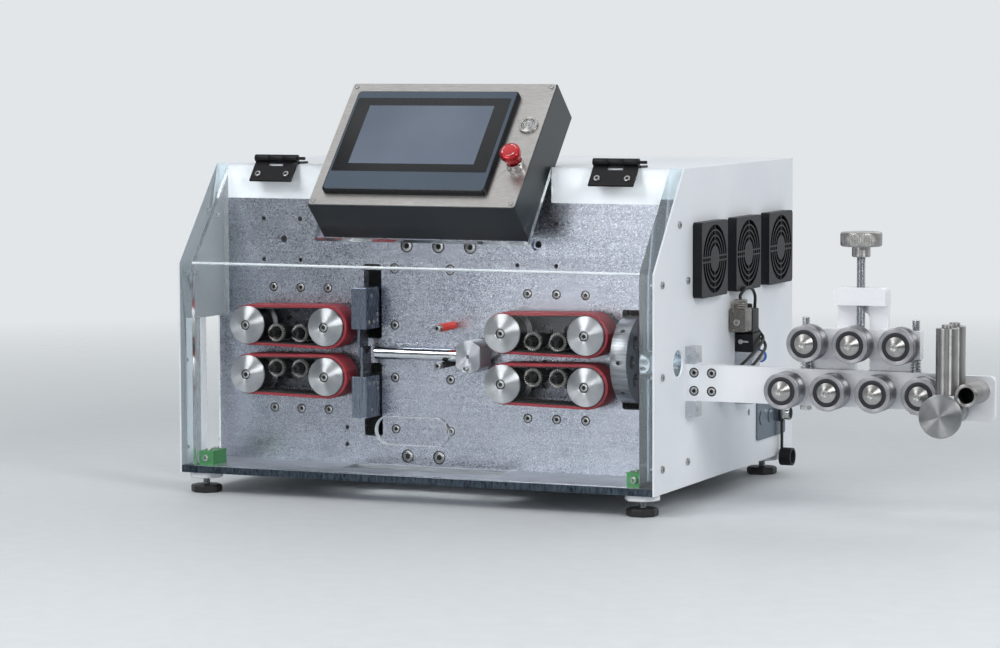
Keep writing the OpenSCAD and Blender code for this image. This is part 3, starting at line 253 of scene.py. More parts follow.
def turned_metal(name, dark, light, low, high, pitch, aniso, depth=1.5e-6):
    """Metal turned on a lathe: rings along v, the length of the profile, and highlights spread across
    them."""
    f = Finish(name, metal=1.0, Anisotropic=aniso, Anisotropic_Rotation=0.25)
    ring = f.noise(pitch, 3.0, 0.7, stretch=(0.0, 1.0, 0.0), uv=True)
    drift = f.noise(60.0, 3.0)
    f.colour(f.mix(f.sum(f.span(ring, 0.0, 0.6), f.span(drift, 0.0, 0.4)), dark, light))
    f.rough(f.span(ring, low, high))
    f.bump(ring, depth, 0.6)
    f.along_turn()
    return f.material


def sparkling_plate():
    """Front plate: rolled aluminium. Each cell of a fine Voronoi pattern is a crystal whose normal leans
    its own way, so that neighbours mirror other parts of the room; milling streaks along x and slow duller
    patches lie over them. Inside each belt the plate is painted near black as painted shade, by the
    distance from the line between two pulleys, broken up by the slow patches."""
    f = Finish("milled_plate", metal=1.0)
    grains = f.add("ShaderNodeTexVoronoi")
    grains.inputs["Scale"].default_value = 1000.0
    f.link(f.spot(stretch=(0.85, 1, 1)), grains.inputs["Vector"])
    lean = f.add("ShaderNodeVectorMath", operation="MULTIPLY_ADD")
    f.link(grains.outputs["Color"], lean.inputs[0])
    lean.inputs[1].default_value = (0.07, 0.07, 0.07)
    lean.inputs[2].default_value = (-0.035, -0.035, -0.035)
    surface = f.add("ShaderNodeNewGeometry")
    both = f.add("ShaderNodeVectorMath", operation="ADD")
    f.link(lean.outputs["Vector"], both.inputs[0])
    f.link(surface.outputs["Normal"], both.inputs[1])
    unit = f.add("ShaderNodeVectorMath", operation="NORMALIZE")
    f.link(both.outputs["Vector"], unit.inputs[0])
    f.link(unit.outputs["Vector"], f.shader.inputs["Normal"])
    split = f.add("ShaderNodeSeparateColor")
    f.link(grains.outputs["Color"], split.inputs["Color"])
    patch = f.noise(9.0, 4.0, 0.6)
    streak = f.noise(260.0, 3.0, stretch=(0.04, 1, 1))
    fine = f.sum(f.span(split.outputs["Red"], 0.0, 0.45, 0.45, 1.0), f.span(streak, 0.0, 0.2))
    bright = f.mix(f.sum(fine, f.span(patch, 0.0, 0.25)), tone(146, 150, 162), tone(206, 210, 221))
    place = f.add("ShaderNodeSeparateXYZ")
    f.link(f.where.outputs["Object"], place.inputs["Vector"])
    left, right = FEED_X.values()
    middle = put(((left + right) / 2, 0.0, WIRE_Z))
    belt_shade_edge = (0.0165, 0.0205)

    def folded(out, centre, half):
        side = f.sum(f.sum(out, -centre), 0.0, "ABSOLUTE")
        return f.sum(f.sum(side, -half), 0.0, "ABSOLUTE")

    from_unit = folded(place.outputs["X"], middle[0], (right - left) / 2000.0)
    along = f.sum(f.sum(from_unit, -PULLEY_HALF / 1000.0), 0.0, "MAXIMUM")
    across = folded(place.outputs["Z"], middle[2], PULLEY_DZ / 1000.0)
    away = f.sum(f.sum(f.sum(along, 2.0, "POWER"), f.sum(across, 2.0, "POWER")), 0.0, "SQRT")
    # Painted shade: the plate goes near black inside each belt loop, fading over a few millimetres at its
    # rim.
    dust_and_shade = f.sum(f.span(away, 1.0, 0.0, *belt_shade_edge), f.span(patch, 0.66, 0.92), "MULTIPLY")
    f.colour(f.mix(dust_and_shade, bright, tone(22, 22, 24)))
    f.rough(f.sum(f.span(split.outputs["Green"], 0.24, 0.34, 0.0, 1.0), f.span(patch, -0.04, 0.05)))
    return f.material


def sawn_base():
    """Base plate: bright rolled top, and a front edge painted dark as painted shade, with slanting saw
    marks.
    """
    f = Finish("sawn_base", metal=1.0)
    saw = f.noise(420.0, 4.0, 0.7, stretch=(1.0, 1.0, 0.28), turn=(0, 32, 0))
    top = f.noise(500.0, 3.0, stretch=(0.06, 1, 1))
    # Painted shade: the front edge takes a much darker colour than the top.
    edge = f.height_mask("Y", -0.2288, -0.2296)
    bright = f.mix(f.span(top, 0.0, 1.0), tone(150, 154, 160), tone(206, 209, 214))
    dark = f.mix(f.span(saw, 0.0, 1.0), tone(20, 24, 29), tone(92, 104, 116))
    f.colour(f.mix(edge, bright, dark))
    f.rough(f.span(saw, 0.3, 0.55))
    f.bump(saw, 5e-5, 0.5)
    return f.material


def clear_sheet(name, tint, rough, flats, index):
    """Clear acrylic: polished body that lamps shine through, with a faint haze of fine scratches. Faces
    that look along none of the flat directions are cut edges, which are less smooth and let less light
    through; their nearly white colour is a painted highlight."""
    f = Finish(name, IOR=index)
    surface = f.add("ShaderNodeNewGeometry")
    closest = None
    for flat in flats:
        turn = f.add("ShaderNodeVectorMath", operation="DOT_PRODUCT")
        f.link(surface.outputs["True Normal"], turn.inputs[0])
        turn.inputs[1].default_value = flat
        size = f.add("ShaderNodeMath", operation="ABSOLUTE")
        f.link(turn.outputs["Value"], size.inputs[0])
        here = size.outputs["Value"]
        closest = here if closest is None else f.sum(closest, here, "MAXIMUM")
    edge = f.span(closest, 1.0, 0.0, 0.90, 0.97)
    haze = f.noise(30.0, 4.0)
    saw = f.span(f.noise(90.0, 2.0), 0.03, 0.07)
    body = f.mix(f.span(haze, 0.0, 1.0), tint, (1.0, 1.0, 1.0, 1.0))
    # Painted highlight: cut edges take a nearly white colour; their extra roughness is the cut finish.
    f.colour(f.mix(edge, body, tone(236, 246, 250)))
    f.rough(f.sum(f.span(haze, 0.0, rough), f.sum(edge, saw, "MULTIPLY")))
    f.link(f.span(edge, 1.0, 0.93, 0.0, 1.0), f.shader.inputs["Transmission Weight"])
    see = f.add("ShaderNodeBsdfTransparent")
    see.inputs["Color"].default_value = (0.93, 0.95, 0.95, 1.0)
    f.fade(f.add("ShaderNodeLightPath").outputs["Is Shadow Ray"], see)
    return f.material


def lcd_glass():
    """Unlit screen: grey panel under smooth glass, a slow drift of tone and a few dust specks."""
    f = Finish("lcd_glass", Specular_IOR_Level=0.35)
    drift = f.noise(9.0, 2.0)
    dust_and_shade = f.span(f.noise(900.0, 0.0), 0.0, 0.5, 0.78, 0.86)
    grey = f.mix(f.span(drift, 0.0, 1.0), tone(92, 102, 118), tone(104, 114, 130))
    f.colour(f.mix(dust_and_shade, grey, tone(160, 165, 172)))
    f.rough(f.span(f.noise(40.0, 3.0), 0.28, 0.36))
    return f.material


def toothed_rubber(name, dark, light, rough):
    """Belt rubber: ground surface with fine cloth-like grain across the belt and pale dust."""
    f = Finish(name)
    grain = f.noise(900.0, 4.0, 0.7)
    wipe = f.noise(40.0, 3.0, stretch=(1.0, 4.0, 1.0))
    f.colour(f.mix(f.sum(f.span(grain, 0.0, 0.6), f.span(wipe, 0.0, 0.5)), dark, light))
    f.rough(f.span(grain, rough - 0.12, rough + 0.12))
    f.bump(grain, 6e-5, 0.7)
    return f.material


PAINTS = (
    ("white_paint", (222, 226, 232), (236, 239, 243), (0.36, 0.5, 1300.0, 2.5e-5, 5.0)),
    ("slate_paint", (34, 40, 44), (41, 48, 53), (0.3, 0.42, 1500.0, 2.0e-5)),
    ("frame_plastic", (60, 74, 89), (68, 83, 99), (0.36, 0.5, 1800.0, 2.0e-5)),
    ("black_gloss", (18, 20, 23), (25, 27, 31), (0.24, 0.34, 1200.0, 8e-6), {"Specular_IOR_Level": 0.35}),
    ("black_paint", (13, 13, 15), (22, 22, 25), (0.34, 0.5, 1500.0, 2.5e-5), {"Specular_IOR_Level": 0.3}),
    ("fan_plastic", (13, 16, 20), (21, 25, 30), (0.34, 0.5, 1600.0, 2.5e-5), {"Specular_IOR_Level": 0.28}),
    ("filter_foam", (8, 8, 9), (30, 29, 28), (0.8, 0.95, 500.0, 6e-4)),
    ("seal_rubber", (26, 27, 33), (38, 39, 46), (0.45, 0.6, 1100.0, 3e-5)),
    ("cap_rubber", (11, 11, 12), (20, 20, 21), (0.5, 0.65, 1300.0, 4e-5), {"Specular_IOR_Level": 0.3}),
    ("lead_rubber", (16, 16, 17), (26, 26, 27), (0.38, 0.5, 1500.0, 2e-5)),
    ("catch_green", (46, 112, 62), (62, 134, 78), (0.4, 0.55, 900.0, 4e-5)),
    ("foot_black", (22, 22, 24), (34, 34, 36), (0.42, 0.58, 1200.0, 4e-5)),
    ("nut_white", (214, 217, 221), (230, 232, 235), (0.36, 0.5, 1200.0, 3e-5)),
    ("push_blue", (24, 96, 190), (40, 118, 214), (0.28, 0.4, 900.0, 2e-5)),
    ("sleeve_red", (206, 48, 34), (232, 72, 50), (0.34, 0.48, 900.0, 2e-5)),
    ("arrow_white", (220, 214, 214), (236, 232, 232), (0.4, 0.5, 900.0, 1e-5)),
    ("symbol_grey", (120, 124, 132), (140, 144, 152), (0.3, 0.4, 900.0, 1e-5)),
    ("stop_red", (170, 8, 22), (198, 20, 32), (0.16, 0.28, 700.0, 1e-5, 20.0),
     {"metal": 0.55, "Coat_Weight": 0.6}),
    ("smoked_plug", (186, 180, 170), (214, 209, 201), (0.1, 0.2, 90.0, 1e-5, 60.0),
     {"Transmission_Weight": 0.8, "IOR": 1.4}),
    ("motor_black", (30, 31, 34), (44, 46, 50), (0.4, 0.55, 900.0, 3e-5)),
    ("panel_steel", (92, 105, 118), (108, 121, 134), (0.24, 0.34, 1200.0, 6e-6, 9.0), {"metal": 0.6}),
    # Pale half-clear band: painted highlight along the cover's ridge and the grip slot's edge.
    ("ridge_bond", (228, 236, 242), (244, 249, 252), (0.1, 0.2, 300.0, 1e-5),
     {"Transmission_Weight": 0.45, "IOR": 1.3}),
)
GROUND = (
    ("brushed_face", (164, 162, 160), (192, 190, 188), (0.32, 0.42, (0.1, 1, 1), 900.0, 6e-6)),
    ("tool_steel", (94, 102, 116), (142, 151, 166), (0.18, 0.34, (1, 1, 0.08), 420.0, 5e-6)),
    ("dark_blade", (58, 58, 62), (120, 120, 126), (0.22, 0.4, (1, 0.06, 1), 500.0, 1.5e-5)),
    ("guide_steel", (150, 154, 160), (204, 207, 212), (0.26, 0.42, (1, 0.06, 1), 500.0, 1.2e-5)),
    ("turret_steel", (112, 114, 118), (168, 171, 176), (0.28, 0.46, (0.08, 1, 1), 420.0, 1.5e-5)),
    ("screw_steel", (140, 140, 142), (206, 205, 204), (0.2, 0.36, (1, 1, 1), 900.0, 1.5e-5)),
    ("anodised", (232, 234, 239), (247, 248, 250), (0.38, 0.52, (1, 1, 1), 1700.0, 2.5e-5), {"metal": 0.4}),
    ("bearing_steel", (120, 122, 126), (170, 172, 176), (0.3, 0.45, (0.06, 1, 1), 500.0, 1.5e-5)),
    ("zinc_metal", (160, 164, 168), (210, 213, 216), (0.2, 0.36, (1, 1, 1), 800.0, 1.2e-5)),
    ("ear_metal", (176, 178, 184), (216, 218, 222), (0.22, 0.36, (1, 1, 1), 1300.0, 8e-6)),
)
TURNED = (
    ("turned_cap", (160, 162, 166), (212, 213, 216), (0.36, 0.46, 2600.0, 0.95)),
    ("idler_metal", (158, 157, 154), (214, 212, 208), (0.3, 0.42, 1800.0, 0.5)),
    ("roller_metal", (134, 134, 138), (184, 184, 188), (0.34, 0.46, 1500.0, 0.85)),
    ("dome_chrome", (196, 195, 192), (236, 235, 232), (0.12, 0.24, 1600.0, 0.55)),
    ("dome_satin", (160, 159, 157), (212, 211, 208), (0.34, 0.44, 1600.0, 0.93)),
    ("cage_chrome", (126, 125, 124), (186, 184, 182), (0.3, 0.4, 1700.0, 0.97)),
    ("knob_metal", (150, 148, 146), (196, 194, 191), (0.34, 0.44, 1700.0, 0.7)),
    ("disc_metal", (128, 130, 132), (196, 197, 198), (0.48, 0.58, 1900.0, 0.97)),
    ("tube_chrome", (206, 208, 212), (240, 241, 243), (0.06, 0.16, 900.0, 0.3)),
    ("guide_turned", (160, 161, 168), (212, 213, 219), (0.36, 0.46, 2400.0, 0.95)),
)
RUBBERS = (
    ("belt_red", (108, 18, 30), (152, 42, 54), (0.62,)),
    ("belt_black", (9, 9, 10), (26, 25, 26), (0.75,)),
)
LOOK = {}
for maker, table in ((painted, PAINTS), (ground_metal, GROUND), (turned_metal, TURNED),
                     (toothed_rubber, RUBBERS)):
    for name, dark, light, numbers, *extras in table:
        LOOK[name] = maker(name, tone(*dark), tone(*light), *numbers, **dict(*extras))
LOOK["milled_plate"] = sparkling_plate()
LOOK["sawn_base"] = sawn_base()
LOOK["lcd_glass"] = lcd_glass()
for name, tint, rough, flats, index in (
    ("front_acrylic", (0.965, 0.985, 0.985, 1.0), 0.004, (Y_WAY, SLOPE_OUT), 1.18),
    ("end_acrylic", (0.95, 0.98, 0.985, 1.0), 0.008, (X_WAY,), 1.42),
):
    LOOK[name] = clear_sheet(name, tint, rough, flats, index)


# Surfaces


def cells_of(rows, cols, loop=False):
    """Corners of the cells of a grid: each cell joins a point, its neighbour along the row and the two
    above. The last column joins the first, and in a loop the last row joins the first."""
    r, c = np.meshgrid(np.arange(rows if loop else rows - 1), np.arange(cols), indexing="ij")
    up, on = (r + 1) % rows, (c + 1) % cols
    corners = np.stack([r * cols + c, r * cols + on, up * cols + on, up * cols + c], -1).reshape(-1, 4)
    near = ((0, 0), (1, 0), (1, 1), (0, 1))
    steps = np.stack([np.stack([c + dc, r + dr], -1) for dc, dr in near], 2)
    return corners, steps.reshape(-1, 4, 2)


def shell(grid, loop=False):
    """Closed skin on a stack of rings: cells between neighbours, and a flat face over the first and last
    ring, or the last ring joined to the first. u runs round a ring from 0 to 1, v along the stack in
    metres."""
    grid = np.asarray(grid, float)
    rows, cols = grid.shape[:2]
    corners, steps = cells_of(rows, cols, loop)
    far = np.linalg.norm(np.diff(grid, axis=0), axis=2).max(1) / 1000.0
    along = np.concatenate([[0.0], np.cumsum(far), [far.sum() + far.mean()]])
    uv = np.stack([steps[..., 0] / cols, along[steps[..., 1]]], -1)
    faces = corners.tolist()
    uvs = uv.tolist()
    if not loop:
        ends = [np.arange(cols)[::-1], (rows - 1) * cols + np.arange(cols)]
        for end, v in zip(ends, (0.0, along[rows - 1])):
            faces.append(end.tolist())
            uvs.append([[i / cols, v] for i in range(cols)])
    return grid.reshape(-1, 3), faces, uvs


def make_piece(name, shells, body, finish, stands_for=(), sharp=38.0):
    """One mesh object from closed skins: points in metres, doubles merged so that poles close, faces turned
    outward, smooth shading with edges sharper than an angle kept crisp, then ridden on its body."""
    points, faces, uvs, start = [], [], [], 0
    for p, f, t in shells:
        points.append(put(p))
        faces += [[i + start for i in face] for face in f]
        uvs += t
        start += len(p)
    mesh = bpy.data.meshes.new(name)
    mesh.from_pydata(np.concatenate(points).tolist(), [], faces)
    layer = mesh.uv_layers.new(name="surface")
    layer.data.foreach_set("uv", np.array([c for t in uvs for c in t], float).ravel())
    work = bmesh.new()
    work.from_mesh(mesh)
    bmesh.ops.remove_doubles(work, verts=work.verts, dist=2e-7)
    bmesh.ops.dissolve_degenerate(work, edges=work.edges, dist=1e-8)
    bmesh.ops.recalc_face_normals(work, faces=work.faces)
    work.to_mesh(mesh)
    work.free()
    mesh.shade_smooth()
    mesh.set_sharp_from_angle(angle=math.radians(sharp))
    mesh.materials.append(LOOK[finish])
    piece = placed(name, mesh)
    if body:
        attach(piece, body)
    if stands_for:
        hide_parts(*stands_for)
    return piece


def axes_of(way):
    """Two directions square to an axis, and the axis itself, as a right-handed set."""
    third = np.asarray(way, float) / np.linalg.norm(way)
    first = np.cross(third, [0, 0, 1.0] if abs(third[2]) < 0.9 else [0, 1.0, 0])
    first /= np.linalg.norm(first)
    return first, np.cross(third, first), third


def turned(profile, centre, way, sides=72, wave=None, loop=False):
    """Skin of revolution: each profile point (radius, distance along the axis) is carried round the axis. A
    wave, a function of angle and distance, scales the radius."""
    profile = np.asarray(profile, float)
    first, second, third = axes_of(way)
    angle = round_angles(sides)
    radius = np.repeat(profile[:, :1], sides, 1)
    if wave is not None:
        radius = radius * wave(angle[None, :], profile[:, 1:])
    spoke = np.cos(angle)[:, None] * first + np.sin(angle)[:, None] * second
    grid = np.asarray(centre, float) + radius[..., None] * spoke[None] + profile[:, 1, None, None] * third
    return shell(grid, loop)


def ringed(profile, centre, way, sides=72):
    """Skin of revolution whose profile is itself a closed loop, such as a washer or a sleeve with a
    bore."""
    return turned(profile, centre, way, sides, loop=True)


def arc(cx, cy, r, start, end, n):
    """Points on a circular arc in the plane of a profile, angles in degrees."""
    a = np.radians(np.linspace(start, end, n))
    return np.stack([cx + r * np.cos(a), cy + r * np.sin(a)], 1)


def round_corners(width, height, r, n=7):
    """Outline of a rectangle about the origin with round corners: four quarter arcs joined by straight
    sides."""
    r = max(min(r, width / 2 - 1e-3, height / 2 - 1e-3), 1e-3)
    spots = ((1, 1, 0), (-1, 1, 90), (-1, -1, 180), (1, -1, 270))
    quarters = [arc(sx * (width / 2 - r), sy * (height / 2 - r), r, a, a + 90, n) for sx, sy, a in spots]
    return np.concatenate(quarters)


def slab(origin, u, v, width, height, corner, levels, n=7):
    """Plate raised from a rounded rectangle: at each level (inset, height) the outline shrinks by the inset
    and lies at that height along u cross v. origin is the middle of the outline."""
    u, v = np.asarray(u, float), np.asarray(v, float)
    out = np.cross(u, v)
    grid = []
    for inset, height_here in levels:
        ring = round_corners(width - 2 * inset, height - 2 * inset, corner - inset, n)
        grid.append(np.asarray(origin, float) + ring[:, :1] * u + ring[:, 1:] * v + height_here * out)
    return shell(np.stack(grid))


def soft_levels(depth, edge):
    """Levels of a plate whose two rims are quarter rounds."""
    low = [(edge * (1 - math.sin(t)), edge * (1 - math.cos(t))) for t in np.linspace(0, np.pi / 2, 4)]
    return low + [(i, depth - h) for i, h in low[::-1]]


def soft_block(low, high, edge, corner=None, up="z"):
    """Block between two corners with rounded upright edges and rounded rims."""
    low, high = np.asarray(low, float), np.asarray(high, float)
    order = {"z": (0, 1, 2), "x": (1, 2, 0), "y": (2, 0, 1)}[up]
    u, v, w = (np.eye(3)[k] for k in order)
    size = (high - low)[list(order)]
    middle = (low + high) / 2
    middle[order[2]] = low[order[2]]
    return slab(middle, u, v, size[0], size[1], corner or edge, soft_levels(size[2], edge))


def swept(path, radius, guide, sides=14):
    """Round tube: a circle square to the path at each point, turned from a guide direction."""
    path = np.asarray(path, float)
    step = np.gradient(path, axis=0)
    step /= np.linalg.norm(step, axis=1, keepdims=True)
    side = np.cross(step, np.broadcast_to(guide, path.shape))
    side /= np.linalg.norm(side, axis=1, keepdims=True)
    up = np.cross(side, step)
    a = round_angles(sides)
    radius = np.broadcast_to(radius, len(path))[:, None, None]
    ring = np.cos(a)[None, :, None] * side[:, None] + np.sin(a)[None, :, None] * up[:, None]
    return shell(path[:, None] + radius * ring)


def smooth_route(points, n):
    """Smooth curve through points: on each stretch the cubic whose slopes are half the step between
    neighbours."""
    p = np.asarray(points, float)
    p = np.concatenate([p[:1], p, p[-1:]])
    t = np.linspace(0, 1, n, endpoint=False)[None, :, None]
    a, b, c, d = p[:-3, None], p[1:-2, None], p[2:-1, None], p[3:, None]
    square, cube = 2 * a - 5 * b + 4 * c - d, 3 * b - a - 3 * c + d
    curve = 0.5 * (2 * b + (c - a) * t + square * t**2 + cube * t**3)
    return np.concatenate([curve.reshape(-1, 3), p[-1:]])


def thread_radius(angle, z, pitch, root, rise):
    """Radius of a thread: a triangle wave of turn minus height over pitch, from the root up by the rise."""
    phase = (angle[None] / (2 * np.pi) - z[:, None] / pitch) % 1.0
    return root + rise * (1 - 2 * np.abs(phase - 0.5))


def socket_head(centre, way, r, height, key):
    """Socket screw head seen along way, its outer end: chamfered rim, flat land and a six-sided socket
    whose radius at each angle is the key's half width over the cosine from the nearest flat."""
    first, second, third = axes_of(way)
    angle = round_angles(48)
    six = key / np.cos((angle + np.pi / 6) % (np.pi / 3) - np.pi / 6)
    one = np.ones_like(angle)
    rows = [(0 * one, -height), (r * one, -height), (r * one, -0.12 * r), (0.97 * r * one, -0.05 * r),
            (0.88 * r * one, 0.0), (six * 1.1, 0.0), (six, -0.08 * r), (six, -0.55 * r),
            (0.0 * one, -0.68 * r)]
    spoke = np.cos(angle)[:, None] * first + np.sin(angle)[:, None] * second
    return shell(np.stack([np.asarray(centre, float) + (rad[:, None] * spoke) + h * third for rad,
                           h in rows]))


def socket_shade_disc(centre, way, r, key):
    """Painted shade in a socket: a small dark disc that fills the lower half of the hole."""
    hole = key * 1.12
    return turned([(0, -0.66 * r), (hole, -0.66 * r), (hole, -0.2 * r), (0, -0.24 * r)], centre, way, 24)


# CAD nodes that keep their shape


def dress(node, finish, edge=0.0):
    """A CAD node keeps its mesh: its material slots take a finish, and modifiers weld its loose triangles
    and round edges sharper than 40 degrees by a small width."""
    thing = cad[node]
    for place in thing.material_slots:
        place.link = "OBJECT"
        place.material = LOOK[finish]
    if edge:
        thing.modifiers.new("weld", "WELD").merge_threshold = 1e-6
        rim = thing.modifiers.new("edge", "BEVEL")
        rim.width = edge / 1000.0
        rim.segments = 2
        rim.limit_method = "ANGLE"
        rim.angle_limit = math.radians(40)


for finish, edge, nodes in (
    ("sawn_base", 0.4, ("base_plate",)),
    ("milled_plate", 0.0, ("front_plate",)),
    ("white_paint", 0.0, ("left_side_panel", "right_side_panel", "top_rear_cover")),
    ("catch_green", 0.5, ("cover_catches",)),
    ("slate_paint", 0.6, ("control_box",)),
    ("brushed_face", 0.25, ("control_faceplate",)),
    ("black_paint", 0.3, ("hinge_fixed_leaves", "hinge_moving_leaves")),
    ("end_acrylic", 0.0, ("guard_end_plates",)),
    ("front_acrylic", 0.0, ("guard_cover",)),
    ("fan_plastic", 0.3, ("fan_units",)),
    ("motor_black", 0.6, ("drive_motors",)),
    ("panel_steel", 0.0, ("signal_connector",)),
    ("turret_steel", 0.5, ("guide_turret",)),
    ("anodised", 0.5, ("straightener_frame", "pressure_slide")),
    ("tool_steel", 0.4, ("upper_blade_holder", "lower_blade_holder")),
):
    for node in nodes:
        dress(node, finish, edge)

# Painted highlight: a pale half-clear tube along the ridge where the sloping and front panels meet.
ridge_highlight_path = [(x, 2.2, 239.6) for x in np.linspace(17.6, 562.4, 24)]
make_piece("cover_ridge_highlight", [swept(ridge_highlight_path, 1.5, Z_WAY, 12)], "guard", "ridge_bond")


# Feed units


def belt_path(count, half, r):
    """Points and outward normals round a belt: two straight runs joined by half circles, evenly spaced by
    length."""
    total = 4 * half + 2 * np.pi * r
    s = np.arange(count) / count * total
    bend = np.pi * r
    t1, t2 = np.clip(s, 0, 2 * half), np.clip(s - 2 * half, 0, bend) / r
    t3, t4 = np.clip(s - 2 * half - bend, 0, 2 * half), np.clip(s - 4 * half - bend, 0, bend) / r
    turn = np.pi / 2 - t2 - t4
    runs = [s < 2 * half, s < 2 * half + bend, s < 4 * half + bend]
    middle = np.select(runs, [-half + t1, np.full_like(s, half), half - t3], -half)
    return middle, np.cos(turn), np.sin(turn), s / total


def belt_band(fx, fz, inner, outer, y0, y1, teeth=0, tooth=0.0, count=720):
    """Band round two pulleys: a cross-section of four rounded corners carried round the belt path. It
    stands a little further out towards the right pulley, in proportion to x. With teeth, the inner corners
    dip inward by a flat-topped wave of the path's length."""
    middle, nx, nz, turn = belt_path(count, PULLEY_HALF, inner)
    swell = 1.45 * (middle + inner * nx) / (PULLEY_HALF + inner)
    wave = np.clip(0.5 + 1.3 * np.cos(2 * np.pi * teeth * turn), 0, 1) * tooth if teeth else 0 * turn
    c = 0.35
    section = [(inner, y0 + c, 1), (inner + c, y0, 1), (outer - c, y0, 0), (outer, y0 + c, 0),
               (outer, y1 - c, 0), (outer - c, y1, 0), (inner + c, y1, 1), (inner, y1 - c, 1)]
    reach = [(r + swell - dip * wave, y) for r, y, dip in section]
    rings = [np.stack([fx + middle + r * nx, np.full(count, y), fz + r * nz], 1) for r, y in reach]
    grid = np.stack(rings, 1)
    return shell(grid, loop=True)


def pulley_cap(x, z):
    """Belt pulley: cone cap with a soft rim, a recess for its screw, plain body, rear flange and shaft."""
    profile = np.concatenate([
        [(0, 54.4), (5.4, 54.4), (5.6, 54.2), (5.6, 51.2)], arc(6.3, 51.3, 0.7, 180, 262, 4),
        [(7.2, 50.65), (21.1, 55.2)], arc(20.9, 56.0, 0.8, -60, 0, 4),
        [(21.7, 57.6), (21.3, 58.1), (15.9, 58.3), (15.9, 88.6), (22.2, 88.6), (22.5, 88.9), (22.5, 90.1)],
        [(22.2, 90.4), (8.0, 90.4), (8.0, 138.0), (0, 138.0)]])
    return turned(profile, (x, 0, z), Y_WAY, 96)


def idler_wheel(x, z):
    """Toothed front ring of an idler: 24 teeth by a clipped cosine of the angle, and a dished front."""
    sides = 384
    angle = round_angles(sides)
    tooth = 8.3 + 2.2 * np.clip(0.35 + 1.4 * np.cos(24 * angle), 0, 1)
    one = np.ones_like(angle)
    rows = [(6.3 * one, 65.4), (6.3 * one, 62.7), (6.9 * one, 62.0), (8.0 * one, 60.7),
            (tooth - 0.25, 60.4), (tooth, 60.8), (tooth, 65.4)]
    grid = [np.stack([x + r * np.cos(angle), np.full(sides, y), z + r * np.sin(angle)], 1) for r, y in rows]
    return shell(np.stack(grid), loop=True)


def idler_body(x, z):
    """Dark idler behind its ring: ribbed drum of the ring's root radius with a shaft into the bearing
    block."""
    def ribs(angle, along):
        rib = 1.0 - 0.05 * np.clip(0.5 + 1.4 * np.cos(24 * angle), 0, 1)
        return np.where((along > 66) & (along < 87), rib, 1.0)

    profile = [(0, 65.5), (8.7, 65.5), (8.8, 66.1), (8.8, 86.8), (8.4, 87.6), (5.0, 88.0), (5.0, 138.0),
               (0, 138.0)]
    return turned(profile, (x, 0, z), Y_WAY, 192, ribs)


def bearing_block(fx, sign):
    """Bearing block of a unit behind the plate: soft-edged block with a bearing ring round each shaft."""
    low, high = sorted((WIRE_Z + sign * 8.0, WIRE_Z + sign * 44.35))
    rings = [ringed([(8.3, 108.1), (13.0, 108.1), (13.4, 108.3), (13.4, 109.5), (8.3, 109.5)],
                    (fx + e * PULLEY_HALF, 0, WIRE_Z + sign * PULLEY_DZ), Y_WAY, 48) for e in (-1, 1)]
    return [soft_block((fx - 64.0, 108.4, low), (fx + 64.0, 138.0, high), 0.8, 1.5, "y")] + rings


for side, fx in FEED_X.items():
    for row, sign in ROW_SIGN.items():
        fz = WIRE_Z + sign * PULLEY_DZ
        body = f"{side}_{row}_feed"
        cover = belt_band(fx, fz, 20.9, 24.05, BELT_Y0, BELT_Y1)
        make_piece(f"{side}_{row}_belt_cover", [cover], body, "belt_red",
                   [f"{side}_{row}_belt"])
        teeth = belt_band(fx, fz, 19.7, 21.1, BELT_Y0 + 0.1, BELT_Y1 - 0.1, 64, 0.7, 1024)
        make_piece(f"{side}_{row}_belt_teeth", [teeth], body, "belt_black")
        make_piece(f"{side}_{row}_bearing_block", bearing_block(fx, sign), body, "bearing_steel")
        for end, e in (("out", -1), ("in", 1)):
            x = fx + e * PULLEY_HALF
            node = f"{side}_{row}_pulley_{end}"
            make_piece(f"{node}_cap", [pulley_cap(x, fz)], node, "turned_cap", [node])
            head = socket_head((x, 51.3, fz), -Y_WAY, 4.5, 2.8, 2.1)
            make_piece(f"{node}_screw", [head], node, "screw_steel")
            hold = 17.6 + 0.6 * e
            sleeve = [(15.95, 58.4), (hold - 0.3, 58.4), (hold, 58.7), (hold, 88.4), (15.95, 88.4)]
            # The ring in the screw recess and the disc in the socket are painted shade; the sleeve is the
            # dark pulley body.
            recess = [(4.55, 51.6), (5.55, 51.6), (5.55, 54.2), (4.55, 54.2)]
            dark = [ringed(sleeve, (x, 0, fz), Y_WAY, 72), ringed(recess, (x, 0, fz), Y_WAY, 48),
                    socket_shade_disc((x, 51.3, fz), -Y_WAY, 4.5, 2.1)]
            make_piece(f"{node}_sleeve", dark, node, "black_paint")
            x, z = fx + e * IDLER_HALF, WIRE_Z + sign * IDLER_DZ
            node = f"{side}_{row}_idler_{end}"
            make_piece(f"{node}_wheel", [idler_wheel(x, z)], node, "idler_metal", [node])
            make_piece(f"{node}_body", [idler_body(x, z)], node, "belt_black")
            hub = turned([(0, 65.4), (6.2, 65.4), (6.2, 64.0), (5.2, 63.2), (0, 63.2)], (x, 0, z), Y_WAY, 48)
            head = socket_head((x, 49.4, z), -Y_WAY, 4.8, 14.0, 2.2)
            make_piece(f"{node}_hub", [hub, head], node, "cap_rubber")


# Grip slot of the guard


def grip_rim():
    """Painted highlight round the grip slot: a thin pale band of even thickness along the slot's outline."""
    count, slot_x, slot_z = 160, 292.0, 58.8
    middle, nx, nz, _ = belt_path(count, 28.8, 16.2)
    section = [(15.6, 0.1), (16.15, 0.1), (16.15, 7.9), (15.6, 7.9)]
    rings = [np.stack([slot_x + middle + r * nx, np.full(count, y), slot_z + r * nz], 1) for r, y in section]
    return shell(np.stack(rings, 1), loop=True)


make_piece("grip_slot_edge_highlight", [grip_rim()], "guard", "ridge_bond")


# Cutter, guide tube and stops


